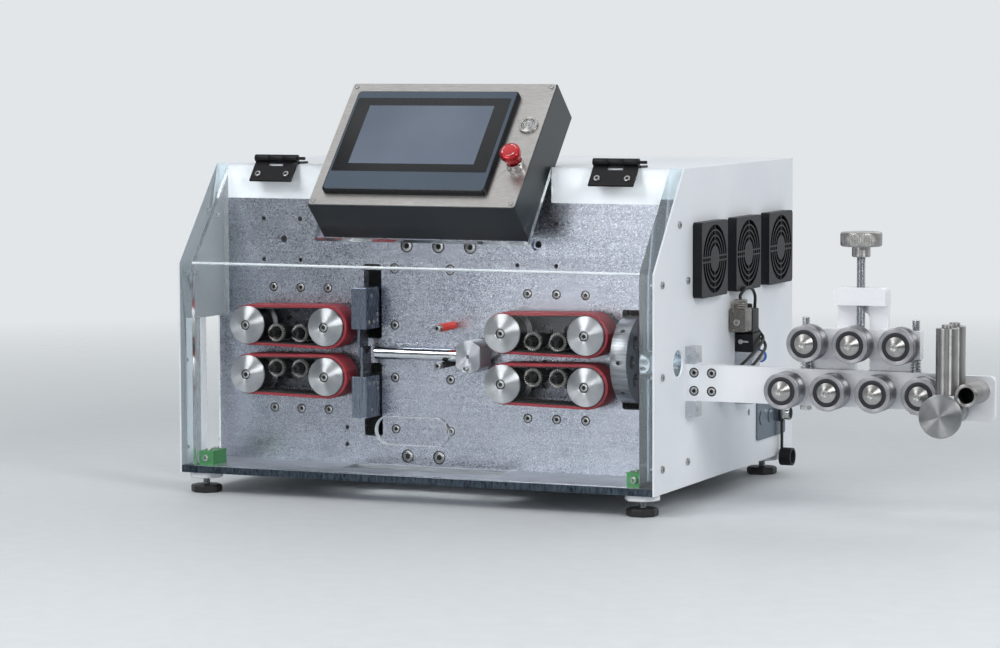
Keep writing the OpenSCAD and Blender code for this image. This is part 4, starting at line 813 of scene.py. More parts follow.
def cutter_blade(x0, sign):
    """V blade: a flat bar with its outline carried through its thickness, the V opening cut by two slanting
    lines."""
    y0, y1, tip, mouth, end = WIRE_Y - 10.85, WIRE_Y + 10.85, 4.6 - 10.9, 4.6, 48.0
    outline = np.array([(y0, tip + 0.4), (y0 + 0.5, tip), (WIRE_Y - 0.3, mouth), (WIRE_Y + 0.3, mouth),
                        (y1 - 0.5, tip), (y1, tip + 0.4), (y1, end), (y0, end)])
    rows = [(0.35, -0.02), (0.0, 0.3), (0.0, 2.7), (0.35, 3.02)]
    middle = outline.mean(0)
    rings = [(x0 + d, middle + (outline - middle) * (1 - i / 20)) for i, d in rows]
    grid = np.stack([np.stack([np.full(len(outline), x), *ring.T], 1) for x, ring in rings])
    grid[..., 2] = WIRE_Z + sign * grid[..., 2]
    return shell(grid)


make_piece("upper_blade_edge", [cutter_blade(196.8, 1)], "upper_blade", "dark_blade")
make_piece("lower_blade_edge", [cutter_blade(200.2, -1)], "lower_blade", "dark_blade")
HOLDER_FACE = 209.4
HOLDER_SCREWS = ((67.0, 35.0), (79.0, 35.0), (73.0, 65.0), (88.5, 36.0), (88.5, 42.5))
for row, sign in ROW_SIGN.items():
    heads = [socket_head((HOLDER_FACE + 0.2, y, WIRE_Z + sign * away), X_WAY, 2.1, 2.0, 0.9)
             for y, away in HOLDER_SCREWS]
    make_piece(f"{row}_holder_screws", heads, f"{row}_blade", "idler_metal")


GUIDE_X, PIVOT = 334.6, (352.6, 150.0)


def guide_pieces():
    """Guide: bored tube with a soft mouth, a round block whose radius at each angle is cut by two flats,
    the link from the block to its pivot and the pivot pin."""
    def flats(angle, along):
        cut = np.minimum(1.0, 14.8 / 18.4 / np.maximum(np.abs(np.cos(angle)), 1e-3))
        return np.where((along > 60.45) & (along < 64.0) | (along == 60.0) | (along > 80), cut, 1.0)

    tube_end = GUIDE_X - 13.5
    tube = [(4.9, 214.3), (6.3, 214.3), (6.9, 215.0), (6.9, tube_end), (4.9, tube_end)]
    make_piece("guide_tube_sleeve", [ringed(tube, (0, WIRE_Y, WIRE_Z), X_WAY, 64)], "guide_tube",
               "tube_chrome",
               ["guide_tube"])
    block = [(0, 66.0), (1.9, 66.0), (2.0, 60.3), (2.3, 60.01), (17.9, 60.0), (18.4, 60.5), (18.4, 90.6),
             (17.9, 91.0), (0, 91.0)]
    make_piece("guide_block", [turned(block, (GUIDE_X, 0, WIRE_Z), Y_WAY, 144, flats)], "guide_tube",
               "guide_turned", sharp=30)
    reach = np.array([PIVOT[0] - GUIDE_X, 0.0, PIVOT[1] - WIRE_Z])
    far = np.linalg.norm(reach)
    u = reach / far
    v = np.array([-u[2], 0.0, u[0]])
    middle = np.array([GUIDE_X, 95.6, WIRE_Z]) + reach / 2
    link = slab(middle, u, v, far + 24.0, 23.0, 11.4, soft_levels(4.5, 0.4))
    pin = [(0, 92.0), (5.9, 92.0), (5.9, 106.9), (5.3, 107.5), (0, 107.5)]
    pin = turned(pin, (PIVOT[0], 0, PIVOT[1]), Y_WAY, 48)
    make_piece("guide_link", [link, pin], "guide_tube", "guide_steel")
    head = socket_head((GUIDE_X - 2, 57.6, WIRE_Z - 12.9), -Y_WAY, 3.0, 2.4, 1.3)
    make_piece("guide_block_screw", [head], "guide_tube", "screw_steel")


guide_pieces()


def stop_posts():
    """Two stop posts: a rubber sleeve of revolution on each screw, and the screw's socket head at the
    front."""
    post_x, rest_z, top_z = 300.5, 127.35, 169.7
    posts = (("rest_post_sleeve", 3.5, rest_z, "cap_rubber"), ("top_post_sleeve", 4.5, top_z, "sleeve_red"))
    for name, r, z, finish in posts:
        profile = [(1.2, 59.6), (r - 0.5, 59.6), (r, 60.2), (r + 0.1, 70.0), (r + 0.1, 95.9), (1.2, 95.9)]
        make_piece(name, [ringed(profile, (post_x, 0, z), Y_WAY, 40)], "machine", finish)
    ends = [(post_x, 52.0, z) for z in (rest_z, top_z)]
    heads = [socket_head(c, -Y_WAY, 4.1, 7.7, 1.9) for c in ends]
    make_piece("stop_post_heads", heads, "machine", "screw_steel")
    # Dark discs in the post screws' sockets: painted shade.
    shade_discs = [socket_shade_disc(c, -Y_WAY, 4.1, 1.9) for c in ends]
    make_piece("stop_post_socket_shade", shade_discs, "machine", "black_paint")


stop_posts()


# Straightener and inlet rollers


def grooved_roller(x, z):
    """Straightening roller: steel ring with a round-bottomed V groove, chamfered rims and a step for the
    seal."""
    profile = np.concatenate([
        [(8.4, 61.3), (15.2, 61.3), (15.2, 61.0), (15.5, 60.9), (19.1, 60.9)], arc(19.2, 61.7, 0.8, -90, 0,
                                                                                   5),
        [(20.0, 66.8), (19.7, 67.2)], arc(17.4, 73.0, 1.6, 215, 145, 6), [(19.7, 78.8), (20.0, 79.2)],
        arc(19.2, 84.3, 0.8, 0, 90, 5), [(8.4, 85.0)]])
    return ringed(profile, (x, 0, z), Y_WAY, 96)


def seal_ring(x, z):
    """Black seal washer in the roller's front step: flat ring with a shallow round lip."""
    profile = [(10.9, 61.2), (10.9, 60.8), (11.3, 60.5), (14.8, 60.5), (15.25, 60.8), (15.25, 61.2)]
    return ringed(profile, (x, 0, z), Y_WAY, 80)


def axle_dome(x, z):
    """Turned axle head: a cone with a hollow flank, a raised centre boss with a drilled dimple and a soft
    rim."""
    t = np.linspace(0, 1, 7)
    flank = np.stack([4.9 + 5.2 * t, 55.6 + 3.9 * t**1.2], 1)
    profile = np.concatenate([
        [(0, 55.6), (1.2, 54.9), (1.5, 53.6), (1.9, 53.3), (3.9, 53.3), (4.4, 53.8), (4.5, 55.3)], flank,
        [(10.6, 59.9), (10.7, 60.4), (10.5, 60.62), (8.0, 60.62), (0, 60.62)]])
    return turned(profile, (x, 0, z), Y_WAY, 72)


ROLLERS = [(f"lower_roller_{i + 1}", 702.6 + 51.0 * i, 113.5, "machine") for i in range(4)]
ROLLERS += [(f"upper_roller_{i + 1}", 728.1 + 51.0 * i, 165.3, "pressure_slide") for i in range(3)]
for node, x, z, carrier in ROLLERS:
    make_piece(f"{node}_ring", [grooved_roller(x, z)], node, "roller_metal", [node])
    make_piece(f"{node}_seal", [seal_ring(x, z)], node, "seal_rubber")
    make_piece(f"{node}_dome", [axle_dome(x, z)], carrier, "dome_satin")


CAGE_X, CAGE_YS, HOLLOW = 887.0, (58.3, 87.7), (911.4, 0, 118.0)


def upright_roller(y):
    """Upright inlet roller: polished sleeve with chamfered ends and a bore for its pin."""
    profile = [(4.3, 117.45), (11.1, 117.45), (11.7, 118.1), (11.7, 186.8), (11.1, 187.4), (6.2, 187.4),
               (6.0, 187.1), (4.3, 187.1)]
    return ringed(profile, (CAGE_X, y, 0), Z_WAY, 80)


def disc_roller():
    """Disc roller: broad polished front disc with a turned centre, rounded rim and a plain body behind."""
    profile = np.concatenate([
        [(0, 35.4), (7.0, 35.6), (14.0, 36.0), (20.6, 36.5)], arc(21.4, 38.1, 1.55, -85, 0, 6),
        arc(21.4, 42.9, 1.55, 0, 85, 6),
        [(12.6, 44.5), (12.5, 44.9), (12.5, 104.4), (11.9, 105.0), (5.4, 105.0), (5.4, 60), (0, 60)]])
    return turned(profile, (CAGE_X - 1.5, 0, 95.5), Y_WAY, 96)


def hollow_roller():
    """Hollow roller: open-ended sleeve with a deep bore and a soft front lip."""
    profile = np.concatenate([
        [(8.6, 76.6), (8.6, 46.3)], arc(9.4, 46.2, 0.8, 180, 270, 4), arc(11.4, 46.2, 0.9, -90, 0, 5),
        [(12.3, 96.2), (11.7, 97.0), (5.5, 97.0), (5.5, 76.6)]])
    return ringed(profile, HOLLOW, Y_WAY, 80)


# Black lining and end disc inside the hollow roller's bore: painted shade.
BORE_SHADE = [(8.2, 47.6), (8.58, 47.6), (8.58, 76.2), (0.3, 76.2), (0.3, 75.8), (8.2, 75.8)]
PIN_HEAD = [(0, 187.8), (5.7, 187.8), (5.8, 190.6), (5.2, 191.2), (0, 191.25)]
for name, skin, node, finish in (
    ("cage_front_sleeve", upright_roller(CAGE_YS[0]), "cage_front_roller", "cage_chrome"),
    ("cage_rear_sleeve", upright_roller(CAGE_YS[1]), "cage_rear_roller", "cage_chrome"),
    ("cage_disc_face", disc_roller(), "cage_disc_roller", "disc_metal"),
    ("cage_hollow_sleeve", hollow_roller(), "cage_hollow_roller", "cage_chrome"),
):
    make_piece(name, [skin], node, finish, [node])
make_piece("cage_hollow_bore_shade", [ringed(BORE_SHADE, HOLLOW, Y_WAY, 64)], "cage_hollow_roller", "black_paint")
pin_heads = [turned(PIN_HEAD, (CAGE_X, y, 0), Z_WAY, 48) for y in CAGE_YS]
make_piece("cage_pin_heads", pin_heads, "machine", "knob_metal")

PRESS_Y, PIN_XS = 100.7, (717.4, 840.8)
def straightener_fixings():
    """Steel fixings of the straightener: sleeves on the guide pins, six-sided nuts below the arm by the
    key's half width over the cosine from the nearest flat, and socket screws, each ringed by a flat black
    ring of painted shade standing for its counterbore, with painted shade in its socket."""
    def six(angle, along):
        return math.cos(math.pi / 6) / np.cos(angle % (np.pi / 3) - np.pi / 6)

    pin = [(0, 135.7), (4.03, 135.7), (4.03, 190.9), (3.4, 191.6), (0, 191.6)]
    nut = [(0, 90.2), (5.6, 90.2), (6.62, 90.9), (6.62, 95.4), (0, 95.4)]
    pins = [turned(pin, (x, PRESS_Y, 0), Z_WAY, 40) for x in PIN_XS]
    nuts = [turned(nut, (x, PRESS_Y, 0), Z_WAY, 72, six) for x in PIN_XS]
    make_piece("guide_pin_sleeves", pins, "machine", "zinc_metal")
    make_piece("guide_pin_nuts", nuts, "machine", "screw_steel", sharp=20)
    places = [(x, z) for x in (590.5, 611.0) for z in (106.5, 126.5)]
    heads = [socket_head((x, 94.1, z), -Y_WAY, 4.3, 3.6, 1.9) for x, z in places]
    make_piece("arm_screws", heads, "machine", "screw_steel")
    # Flat black rings round the screw heads: painted shade in place of counterbore recesses.
    rim = [(4.35, 94.36), (5.5, 94.36), (5.5, 94.9), (4.35, 94.9)]
    shade_rings = [ringed(rim, (x, 0, z), Y_WAY, 48) for x, z in places]
    ears = [(592.4, PRESS_Y, z) for z in (86.0, 145.5)]
    heads = [socket_head(c, X_WAY, 3.4, 2.2, 1.5) for c in ears]
    make_piece("ear_screws", heads, "machine", "screw_steel")
    shade_discs = [socket_shade_disc((x, 94.1, z), -Y_WAY, 4.3, 1.9) for x, z in places]
    shade_discs += [socket_shade_disc(c, X_WAY, 3.4, 1.5) for c in ears]
    make_piece("arm_screw_shade", shade_rings + shade_discs, "machine", "black_paint")
    levels = ((76.9, 95.2), (135.8, 155.1))
    blocks = [soft_block((580.1, 94.2, low), (592.15, 115.0, high), 0.6) for low, high in levels]
    make_piece("c_block_ears", blocks, "machine", "ear_metal")


straightener_fixings()


def pressure_screw_pieces():
    """Pressure screw: a thread, a plain collar, and a knob with a straight knurl by a cosine of the angle
    and soft rims."""
    x, pitch, sides = 779.1, 1.5, 40
    z = np.arange(174.2, 258.0, pitch / 6)
    angle = round_angles(sides)
    radius = thread_radius(angle, z, pitch, 4.15, 0.85)
    radius[0], radius[-1] = 3.6, 4.2
    height = np.repeat(z[:, None], sides, 1)
    grid = np.stack([x + radius * np.cos(angle), PRESS_Y + radius * np.sin(angle), height], -1)
    make_piece("pressure_screw_thread", [shell(grid)], "pressure_screw", "zinc_metal",
               ["pressure_screw"])
    collar = [(0, 257.6), (9.2, 257.6), (10.0, 258.4), (10.0, 268.6), (9.4, 269.2), (0, 269.2)]
    collar = turned(collar, (x, PRESS_Y, 0), Z_WAY, 72)
    make_piece("pressure_screw_collar", [collar], "pressure_screw", "knob_metal")

    def knurl(a, h):
        inside = (h > 271.2) & (h < 282.4)
        return np.where(inside, 1.0 - 0.013 * (0.5 + 0.5 * np.cos(84 * a)), 1.0)

    rim = np.concatenate([
        [(0, 269.0), (19.5, 269.0)], arc(20.3, 271.0, 2.0, -90, -20, 6),
        [(22.4, 271.4), (22.45, 276.8), (22.4, 282.2)], arc(20.3, 282.5, 2.0, 20, 90, 6),
        [(14.0, 284.4), (8.0, 284.5), (0, 284.5)]])
    knob = turned(rim, (x, PRESS_Y, 0), Z_WAY, 336, knurl)
    make_piece("pressure_knob", [knob], "pressure_screw", "knob_metal")


pressure_screw_pieces()


def spring_coil(x):
    """Return spring: a round wire along a helix whose ends flatten onto the arm and the slide."""
    t = np.linspace(0, 1, 180)
    turns = 4.5
    rise = np.clip((t - 0.09) / 0.82, 0, 1)
    a = 2 * np.pi * turns * t
    path = np.stack([x + 5.55 * np.cos(a), PRESS_Y + 5.55 * np.sin(a), 136.25 + rise * (148.1 - 136.25)], 1)
    return swept(path, 0.65, Z_WAY, 10)


for name, x in zip(("left_spring_coil", "right_spring_coil"), PIN_XS):
    coil = make_piece(name, [spring_coil(x)], None, "zinc_metal", ["pressure_springs"])
    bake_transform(coil)


# Control box

TILT = math.radians(42.6)
FACE_U, FACE_V = X_WAY, np.array([0.0, math.sin(TILT), math.cos(TILT)])
FACE_N = np.cross(FACE_U, FACE_V)
FACE_ORIGIN = np.array([165.0, 1.3, 308.0])


def on_face(x, v, n=0.0):
    """Point of the control box's face: x along it, v up it, n out of it."""
    return FACE_ORIGIN + x * FACE_U + v * FACE_V + n * FACE_N


FRAME_MID = (13.7 + 100.0, 16.0 + 74.0)
SCREEN_MID = (35.7 + 77.0, 54.6 + 43.0)
POWER_AT, STOP_AT = (235, 118.3), (236.8, 60)


def touchscreen_pieces():
    """Touchscreen: black moulded frame with rounded rims, a slate face plate, black glass border, grey
    screen."""
    frame_levels = [(0.6, 1.5), (0.0, 2.2), (0.0, 6.6), (0.5, 7.6), (1.6, 8.5), (2.9, 8.8)]
    for name, middle, size, levels, n, finish, stands_for in (
        ("screen_frame", FRAME_MID, (200.0, 148.0, 5.0), frame_levels, 9, "black_gloss", ["touchscreen"]),
        ("screen_face", FRAME_MID, (195.6, 143.6, 3.4), [(0.0, 7.0), (0.0, 8.7), (0.35, 9.0)], 7,
         "frame_plastic", ()),
        ("screen_border", SCREEN_MID, (189.6, 109.0, 2.0), [(0.0, 8.5), (0.0, 9.08), (0.1, 9.12)], 6,
         "black_gloss", ()),
        ("screen_panel", SCREEN_MID, (154.0, 86.0, 0.4), [(0.0, 8.6), (0.0, 9.16), (0.05, 9.18)], 4,
         "lcd_glass", ()),
    ):
        plate = slab(on_face(*middle), FACE_U, FACE_V, *size, levels, n)
        make_piece(name, [plate], "machine", finish, stands_for)


touchscreen_pieces()


def power_symbol(x, v, n):
    """Power sign: an open ring of a thin square-ended band and a short bar through its gap."""
    a = np.radians(np.linspace(125, 415, 40))
    ring = np.stack([on_face(x + 2.6 * math.cos(t), v + 2.6 * math.sin(t), n) for t in a])
    bar = np.stack([on_face(x, v + d, n) for d in np.linspace(0.8, 3.4, 4)])
    return [swept(ring, 0.34, FACE_N, 8), swept(bar, 0.34, FACE_N, 8)]


def button_pieces():
    """Power button and stop button, each of revolution about the face's normal."""
    power, stop = on_face(*POWER_AT), on_face(*STOP_AT)
    ring = [(8.2, 1.5), (10.9, 1.5), (11.1, 2.0), (11.0, 3.7), (10.3, 4.5), (9.0, 4.7), (8.3, 4.3)]
    make_piece("power_ring", [ringed(ring, power, FACE_N, 80)], "machine", "dome_satin")
    cap = [(0, -10.6), (7.9, -10.6), (8.0, 2.6), (7.6, 3.6), (7.1, 3.9), (6.3, 3.95), (6.1, 3.7), (5.2, 3.7),
           (5.0, 3.95), (0, 4.0)]
    make_piece("power_cap", [turned(cap, power, FACE_N, 80)], "power_button", "dome_satin",
               ["power_button"])
    glow = ringed([(5.2, 3.5), (6.1, 3.5), (6.1, 3.86), (5.2, 3.86)], power, FACE_N, 72)
    make_piece("power_glow_ring", [glow], "power_button", "symbol_grey")
    make_piece("power_sign", power_symbol(*POWER_AT, 4.0), "power_button", "symbol_grey")
    collar = [(5.6, 1.5), (10.1, 1.5), (10.4, 2.0), (10.4, 2.9), (9.9, 3.2), (9.85, 10.0), (9.4, 10.55),
              (5.6, 10.55)]
    make_piece("stop_collar", [ringed(collar, stop, FACE_N, 80)], "machine", "dome_chrome")
    head = np.concatenate([
        [(0, -10), (5.0, -10), (5.0, 15.0), (8.9, 15.0)], arc(9.1, 16.0, 1.0, -90, 0, 4), [(9.7, 18.4)],
        arc(9.9, 21.2, 1.85, -80, 0, 5), [(11.7, 24.8)], arc(9.5, 25.4, 2.15, 10, 80, 7),
        [(8.2, 27.9), (7.0, 28.1), (5.0, 28.35), (0, 28.6)]])
    make_piece("stop_head", [turned(head, stop, FACE_N, 96)], "estop_button", "stop_red",
               ["estop_button"])
    width = np.concatenate([np.full(10, 0.3), [0.95, 0.65, 0.35, 0.06]])
    arrows = []
    for k in range(3):
        turn = np.radians(np.linspace(120 * k + 20, 120 * k + 95, 14))
        places = [(STOP_AT[0] + 7.9 * math.cos(t), STOP_AT[1] + 7.9 * math.sin(t)) for t in turn]
        arrows.append(swept(np.stack([on_face(*p, 27.85) for p in places]), width, FACE_N, 8))
    make_piece("stop_arrows", arrows, "estop_button", "arrow_white")


button_pieces()
corners = [on_face(x, v, 3.0) for x in (5.5, 246.5) for v in (5.5, 175.5)]
corner_heads = [socket_head(c, FACE_N, 2.8, 1.5, 1.2) for c in corners]
make_piece("face_screws", corner_heads, "machine", "screw_steel")


# Feet


def foot_pieces():
    """Foot: eight-sided rubber pad with chamfered rims, a threaded zinc stud and a nut lobed by a
    cosine."""
    flat = np.pi / 8

    def octagon(a, h):
        return 1.0 / np.cos((a + flat) % (2 * flat) - flat) * np.cos(flat) ** 0.5

    def lobes(a, h):
        return 1.0 + np.where((h > -6.6) & (h < -0.4), 0.045, 0.03) * np.cos(6 * a)

    pad = [(0, -24.0), (15.6, -24.0), (17.0, -22.8), (17.2, -17.2), (15.8, -15.4), (7.0, -15.0), (0, -15.0)]
    nut = [(0, -7.0), (17.6, -7.0), (19.1, -6.0), (19.1, -1.0), (18.2, -0.05), (0, -0.05)]
    places = [(x, y) for x in (22.0, 558.0) for y in (22.0, 415.0)]
    pads = [turned(pad, (x, y, 0), Z_WAY, 64, octagon) for x, y in places]
    nuts = [turned(nut, (x, y, 0), Z_WAY, 96, lobes) for x, y in places]
    z, sides = np.arange(-16.0, -5.0, 0.25), 32
    a = round_angles(sides)
    r = thread_radius(a, z, 1.25, 3.5, 0.6)
    height = np.repeat(z[:, None], sides, 1)
    studs = [shell(np.stack([x + r * np.cos(a), y + r * np.sin(a), height], -1)) for x, y in places]
    make_piece("foot_pads", pads, "machine", "foot_black", ["levelling_feet"])
    make_piece("foot_studs", studs, "machine", "zinc_metal")
    make_piece("foot_nuts", nuts, "machine", "nut_white")


foot_pieces()


# Side fittings

VALVE = np.array([580.0, 256.0, 136.0])


def valve_pieces():
    """Solenoid valve: soft-edged body, black block and coil, smoked plug with a ribbed neck, fitting,
    leads."""
    def block(low, high, edge):
        return soft_block(VALVE + low, VALVE + high, edge)

    def round_piece(profile, offset, way, sides=48, maker=turned):
        return maker(profile, VALVE + offset, way, sides)

    def fixed(name, shells, finish, stands_for=()):
        make_piece(name, shells, "machine", finish, stands_for)

    fixed("valve_body", [block((0, 0, -60), (21, 27, -0.1), 0.7)], "guide_steel",
          stands_for=["solenoid_valve"])
    fixed("valve_block", [block((0, 0, 0.05), (22, 27, 20.9), 0.8)], "black_paint")
    stem = round_piece([(0, 48), (5.5, 48), (5.5, 53.2), (4.8, 54), (0, 54)], (11, 13, 0), Z_WAY, 40)
    fixed("valve_coil", [block((1, 1, 21), (21, 24, 49), 1.6), stem], "black_paint")
    neck = [(0, 50.5), (7.0, 50.5)]
    for k in range(4):
        neck += [(8.2, 51.0 + 2.5 * k), (8.2, 52.5 + 2.5 * k), (7.1, 52.9 + 2.5 * k)]
    neck += [(6.6, 61.0), (0, 61.2)]
    plug = block((1.5, -23, 24), (20.5, 0.95, 51), 1.5)
    fixed("valve_plug", [plug, round_piece(neck, (11, -12, 0), Z_WAY)], "smoked_plug")
    fixed("valve_plug_core", [block((5, -20, 28), (17, -4, 47), 1.5)], "motor_black")
    head = socket_head(VALVE + (10.5, -23.5, 35), -Y_WAY, 4.0, 1.6, 1.7)
    fixed("valve_plug_screw", [head], "screw_steel")
    lever = slab(VALVE + (12.5, 0.0, 11.5), X_WAY, Z_WAY, 9.0, 2.2, 1.0,
                 [(0.0, -0.4), (0.0, 1.1), (0.3, 1.4)])
    hub = round_piece([(0, -1.9), (2.5, -1.9), (2.9, -1.5), (2.9, 0.4), (0, 0.4)], (7.5, 0, 11.5), Y_WAY, 40)
    fixed("valve_lever", [hub, lever], "screw_steel")
    port = (15.5, 2.5, -8.5)
    fitting = [(3.0, 27), (6.0, 27), (6.0, 41.4), (5.5, 42), (3.0, 42)]
    fixed("valve_fitting", [round_piece(fitting, port, Y_WAY, maker=ringed)], "zinc_metal")
    ring = np.concatenate([[(3.0, 41.5), (6.9, 41.5)], arc(6.6, 43.6, 0.9, -20, 90, 5),
                           [(3.4, 45.0), (3.0, 44.6)]])
    fixed("valve_push_ring", [round_piece(ring, port, Y_WAY, maker=ringed)], "push_blue")
    fixed("valve_gland", [block((0, -56, -52), (24, -36, -38), 1.2)], "black_paint")
    coil_lead = [(11, -12, 61), (11, -12, 65), (13, -8, 70), (14, 2, 73), (15, 16, 71), (15, 27, 62),
                 (14, 29.5, 46),
                 (16, 31, 26), (24, 29, 15), (26.5, 14, 8), (24, -16, -4), (18, -40, -16), (14, -49, -28),
                 (13, -50, -38)]
    block_lead = [(16, 27, 14), (16, 33, 14), (20, 41, 10), (25, 35, 3), (26.5, 14, -5), (25, -11, -15),
                  (19, -34, -25), (14.5, -41, -33), (14, -42, -38)]
    leads = [swept(VALVE + smooth_route(p, 10), 1.8, X_WAY, 14) for p in (coil_lead, block_lead)]
    fixed("valve_leads", leads, "lead_rubber")


valve_pieces()


def connector_pieces():
    """Round connector's rubber cap on its strap, as cups of revolution about x with a soft rim."""
    y, cap_z, socket_z = 405.5, -1.0, 50.5
    cap = np.concatenate([
        [(0.01, 585.5), (9.6, 585.5)], arc(9.7, 586.4, 0.9, -90, 0, 4), arc(9.7, 599.3, 0.9, 0, 90, 4),
        [(8.8, 600.1), (8.3, 599.4), (8.3, 588.0), (0.01, 588.0)]])
    strap = slab(np.array([585.3, y, 25.0]), Y_WAY, Z_WAY, 6.4, 37.0, 1.2, soft_levels(1.8, 0.5))
    hold = [(8.05, 585.3), (10.2, 585.3), (10.3, 585.8), (10.3, 586.7), (10.0, 587.1), (8.05, 587.1)]
    rubber = [ringed(cap, (0, y, cap_z), X_WAY, 64), strap, ringed(hold, (0, y, socket_z), X_WAY, 64)]
    make_piece("connector_cap", rubber, "machine", "cap_rubber")
    rim = [(6.7, 585.2), (7.9, 585.2), (8.1, 587.4), (8.1, 596.4), (7.6, 597.1), (6.7, 597.1)]
    make_piece("connector_shell", [ringed(rim, (0, y, socket_z), X_WAY, 56)], "machine", "dome_chrome")


connector_pieces()


def fan_filters():
    """Dark foam discs behind the fan guards, slightly domed so that they catch soft light."""
    disc = [(0, 583.1), (37.9, 583.1), (37.9, 586.0), (30.0, 586.25), (15.0, 586.4), (0, 586.4)]
    discs = [turned(disc, (0, y, 248.0), X_WAY, 64) for y in (386.0, 273.0, 160.0)]
    make_piece("fan_filters", discs, "machine", "filter_foam")


fan_filters()


def plate_screws():
    """Socket screws of the front plate, each ringed by a flat black ring of painted shade standing for its
    counterbore, with painted shade in its socket: small ones round the units, large ones in rows."""
    small_at = ((27.7, 30), (27.7, -30), (97, -30), (27.7, 94), (97, 94), (27.7, -89), (97, -89))
    large_at = ((43, 119.5), (82.5, 119.5), (122, 119.5), (43, -119.5), (82.5, -119.5))
    spots = [(fx - 1 + 35 * i, WIRE_Z + 70 * s, 4.4) for fx in FEED_X.values() for i in (-1, 0, 1)
             for s in (-1, 1)]
    spots += [(200 + dx, WIRE_Z + dz, 4.4) for dx, dz in small_at]
    spots += [(200 + dx, WIRE_Z + dz, 6.6) for dx, dz in large_at]
    heads, shanks, shade_rings, shade_discs = [], [], [], []
    for x, z, r in spots:
        heads.append(socket_head((x, 95.7, z), -Y_WAY, r, 4.0, 0.44 * r))
        shanks.append(turned([(0, 97.5), (3.0, 97.5), (3.0, 107.8), (0, 107.8)], (x, 0, z), Y_WAY, 24))
        # Flat black ring round each head: painted shade in place of a counterbore recess.
        rim = [(r + 0.05, 95.9), (r + 1.0, 95.9), (r + 1.0, 96.5), (r + 0.05, 96.5)]
        shade_rings.append(ringed(rim, (x, 0, z), Y_WAY, 48))
        shade_discs.append(socket_shade_disc((x, 95.7, z), -Y_WAY, r, 0.44 * r))
    make_piece("plate_screw_heads", heads + shanks, "machine", "screw_steel",
               ["screws_and_stops"])
    make_piece("plate_screw_shade", shade_rings + shade_discs, "machine", "black_paint")
    sides = [((x, y, z), way) for x, way in ((-1.95, -X_WAY), (581.95, X_WAY))
             for y, z in ((76, 289.5), (23, 227), (24, 127), (24, 27), (102, 227), (102, 27))]
    heads = [socket_head(c, way, 4.1, 1.9, 1.8) for c, way in sides]
    make_piece("panel_screw_heads", heads, "machine", "screw_steel")
    # Dark discs in the side panel screws' sockets: painted shade.
    shade_discs = [socket_shade_disc(c, way, 4.1, 1.8) for c, way in sides]
    make_piece("panel_screw_socket_shade", shade_discs, "machine", "black_paint")


plate_screws()


def bright_screws():
    """Bright screws on the hinge leaves and catches: socket heads along each surface's normal."""
    length = math.hypot(SLOPE_RUN, SLOPE_RISE)
    lift = SLOPE_UP * (length - 17)
    heads = [socket_head(np.array([x + d, 0, 240.0]) + lift + SLOPE_OUT * 4.4, SLOPE_OUT, 3.75, 2.0, 1.7)
             for x in (53.0, 473.0) for d in (9.0, 45.0)]
    make_piece("leaf_screws", heads, "guard", "screw_steel")
    catches = []
    for x in (18.4 + 9.0, 543.6 + 9.0):
        catches.append(socket_head((x, 9.6, 16.0), -Y_WAY, 3.8, 3.4, 1.7))
        catches += [socket_head((x, y, 26.4), Z_WAY, 3.2, 2.3, 1.5) for y in (20.0, 38.0)]
    make_piece("catch_screws", catches, "machine", "screw_steel")


bright_screws()


# Floor, light and surroundings


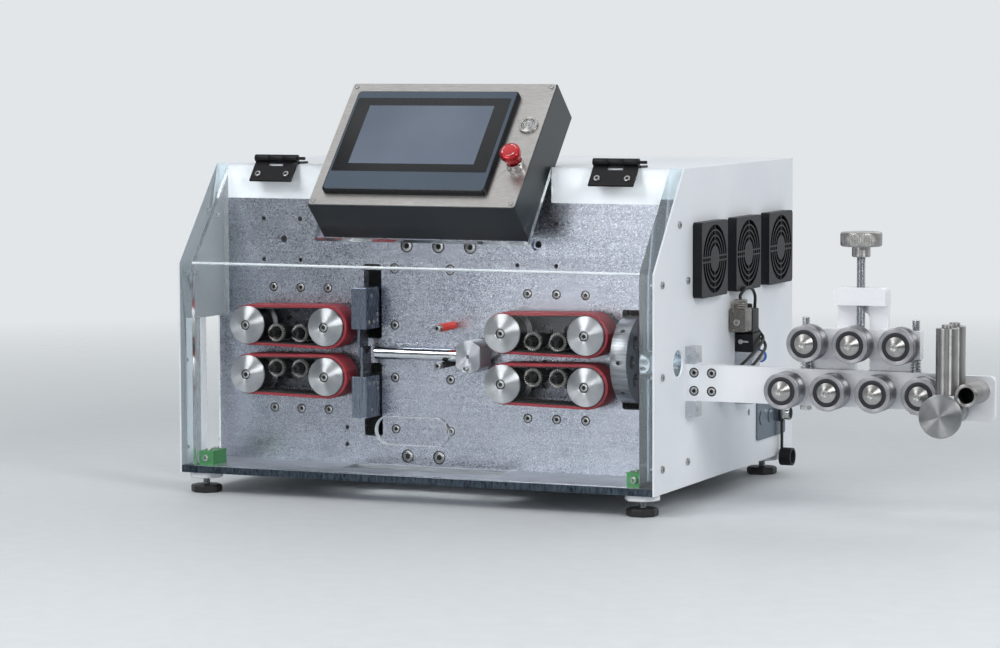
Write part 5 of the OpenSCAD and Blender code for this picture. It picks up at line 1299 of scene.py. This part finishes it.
def studio():
    """Pale floor that fades into pale surroundings, which give less light in front of the machine than
    behind it but look the same all round, through clear panels too; large soft lamps in front, above, at
    the right and behind."""
    f = Finish("studio_floor")
    far = f.add("ShaderNodeVectorMath", operation="LENGTH")
    f.link(f.where.outputs["Object"], far.inputs[0])
    grain = f.noise(40.0, 3.0)
    f.colour(f.mix(f.span(grain, 0.0, 1.0), tone(208, 212, 215), tone(213, 217, 220)))
    f.rough(f.span(grain, 0.55, 0.65))
    gone = f.add("ShaderNodeBsdfTransparent")
    f.fade(f.span(far.outputs["Value"], 0.0, 1.0, 0.9, 2.6), gone)
    sides = 96
    ring = round_angles(sides)
    radius = np.array([1e-4, 0.9, 1.6, 2.7])
    flat = np.zeros((len(radius), sides))
    grid = np.stack([radius[:, None] * np.cos(ring), radius[:, None] * np.sin(ring), flat], -1)
    corners, _ = cells_of(len(radius), sides)
    mesh = bpy.data.meshes.new("studio_floor")
    mesh.from_pydata(grid.reshape(-1, 3).tolist(), [], corners.tolist() + [list(range(sides))])
    mesh.validate()
    mesh.materials.append(f.material)
    floor = placed("studio_floor", mesh)

    world = bpy.data.worlds.new("studio_world")
    bpy.context.scene.world = world
    world.use_nodes = True
    w = Patterns(world.node_tree)
    back = w.tree.nodes["Background"]
    split = w.add("ShaderNodeSeparateXYZ")
    w.link(w.where.outputs["Generated"], split.inputs["Vector"])
    ramp = w.add("ShaderNodeValToRGB")
    ramp.color_ramp.interpolation = "EASE"
    for mark, place, colour in zip(ramp.color_ramp.elements, (0.30, 0.86), (WORLD_FRONT, WORLD_BACK)):
        mark.position = place
        mark.color = colour
    w.link(w.span(split.outputs["Y"], 0.0, 1.0, -1.0, 1.0), ramp.inputs["Fac"])
    path = w.add("ShaderNodeLightPath").outputs
    straight = w.sum(w.sum(path["Glossy Depth"], path["Diffuse Depth"]), 0.5, "LESS_THAN")
    through = w.sum(path["Is Transmission Ray"], straight, "MULTIPLY")
    seen = w.sum(path["Is Camera Ray"], through, "MAXIMUM")
    w.link(w.mix(seen, ramp.outputs["Color"], WORLD_BACK), back.inputs["Color"])
    back.inputs["Strength"].default_value = 1.0

    for name, place, aim, size, power in LAMPS:
        lamp = bpy.data.lights.new(name, "AREA")
        lamp.shape = "RECTANGLE"
        lamp.size, lamp.size_y = size
        lamp.energy = power
        thing = placed(name, lamp)
        first, second, third = axes_of(np.array(place) - np.array(aim))
        turn = np.eye(4)
        turn[:3, 0], turn[:3, 1], turn[:3, 2], turn[:3, 3] = first, second, third, place
        thing.matrix_world = Matrix(turn.tolist())


WORLD_FRONT, WORLD_BACK = (0.06, 0.07, 0.082, 1.0), (0.76, 0.79, 0.81, 1.0)
LAMPS = (
    ("lamp_key", (-1.3, -2.3, 2.2), (0.0, 0.0, 0.15), (1.5, 1.1), 34.5),
    ("lamp_above", (-0.35, -0.4, 2.4), (0.0, 0.0, 0.2), (2.4, 1.4), 10.0),
    ("lamp_right", (2.4, -1.6, 1.6), (0.1, 0.0, 0.2), (1.0, 1.5), 40.0),
    ("lamp_front", (1.0, -2.8, 1.2), (0.0, 0.0, 0.15), (1.4, 0.8), 9.0),
    ("lamp_low", (-0.62, -2.85, 0.36), (0.0, 0.0, 0.15), (1.2, 0.8), 7.5),
    ("lamp_back", (0.6, 2.6, 2.2), (0.0, 0.0, 0.2), (2.0, 1.0), 10.0),
)
studio()
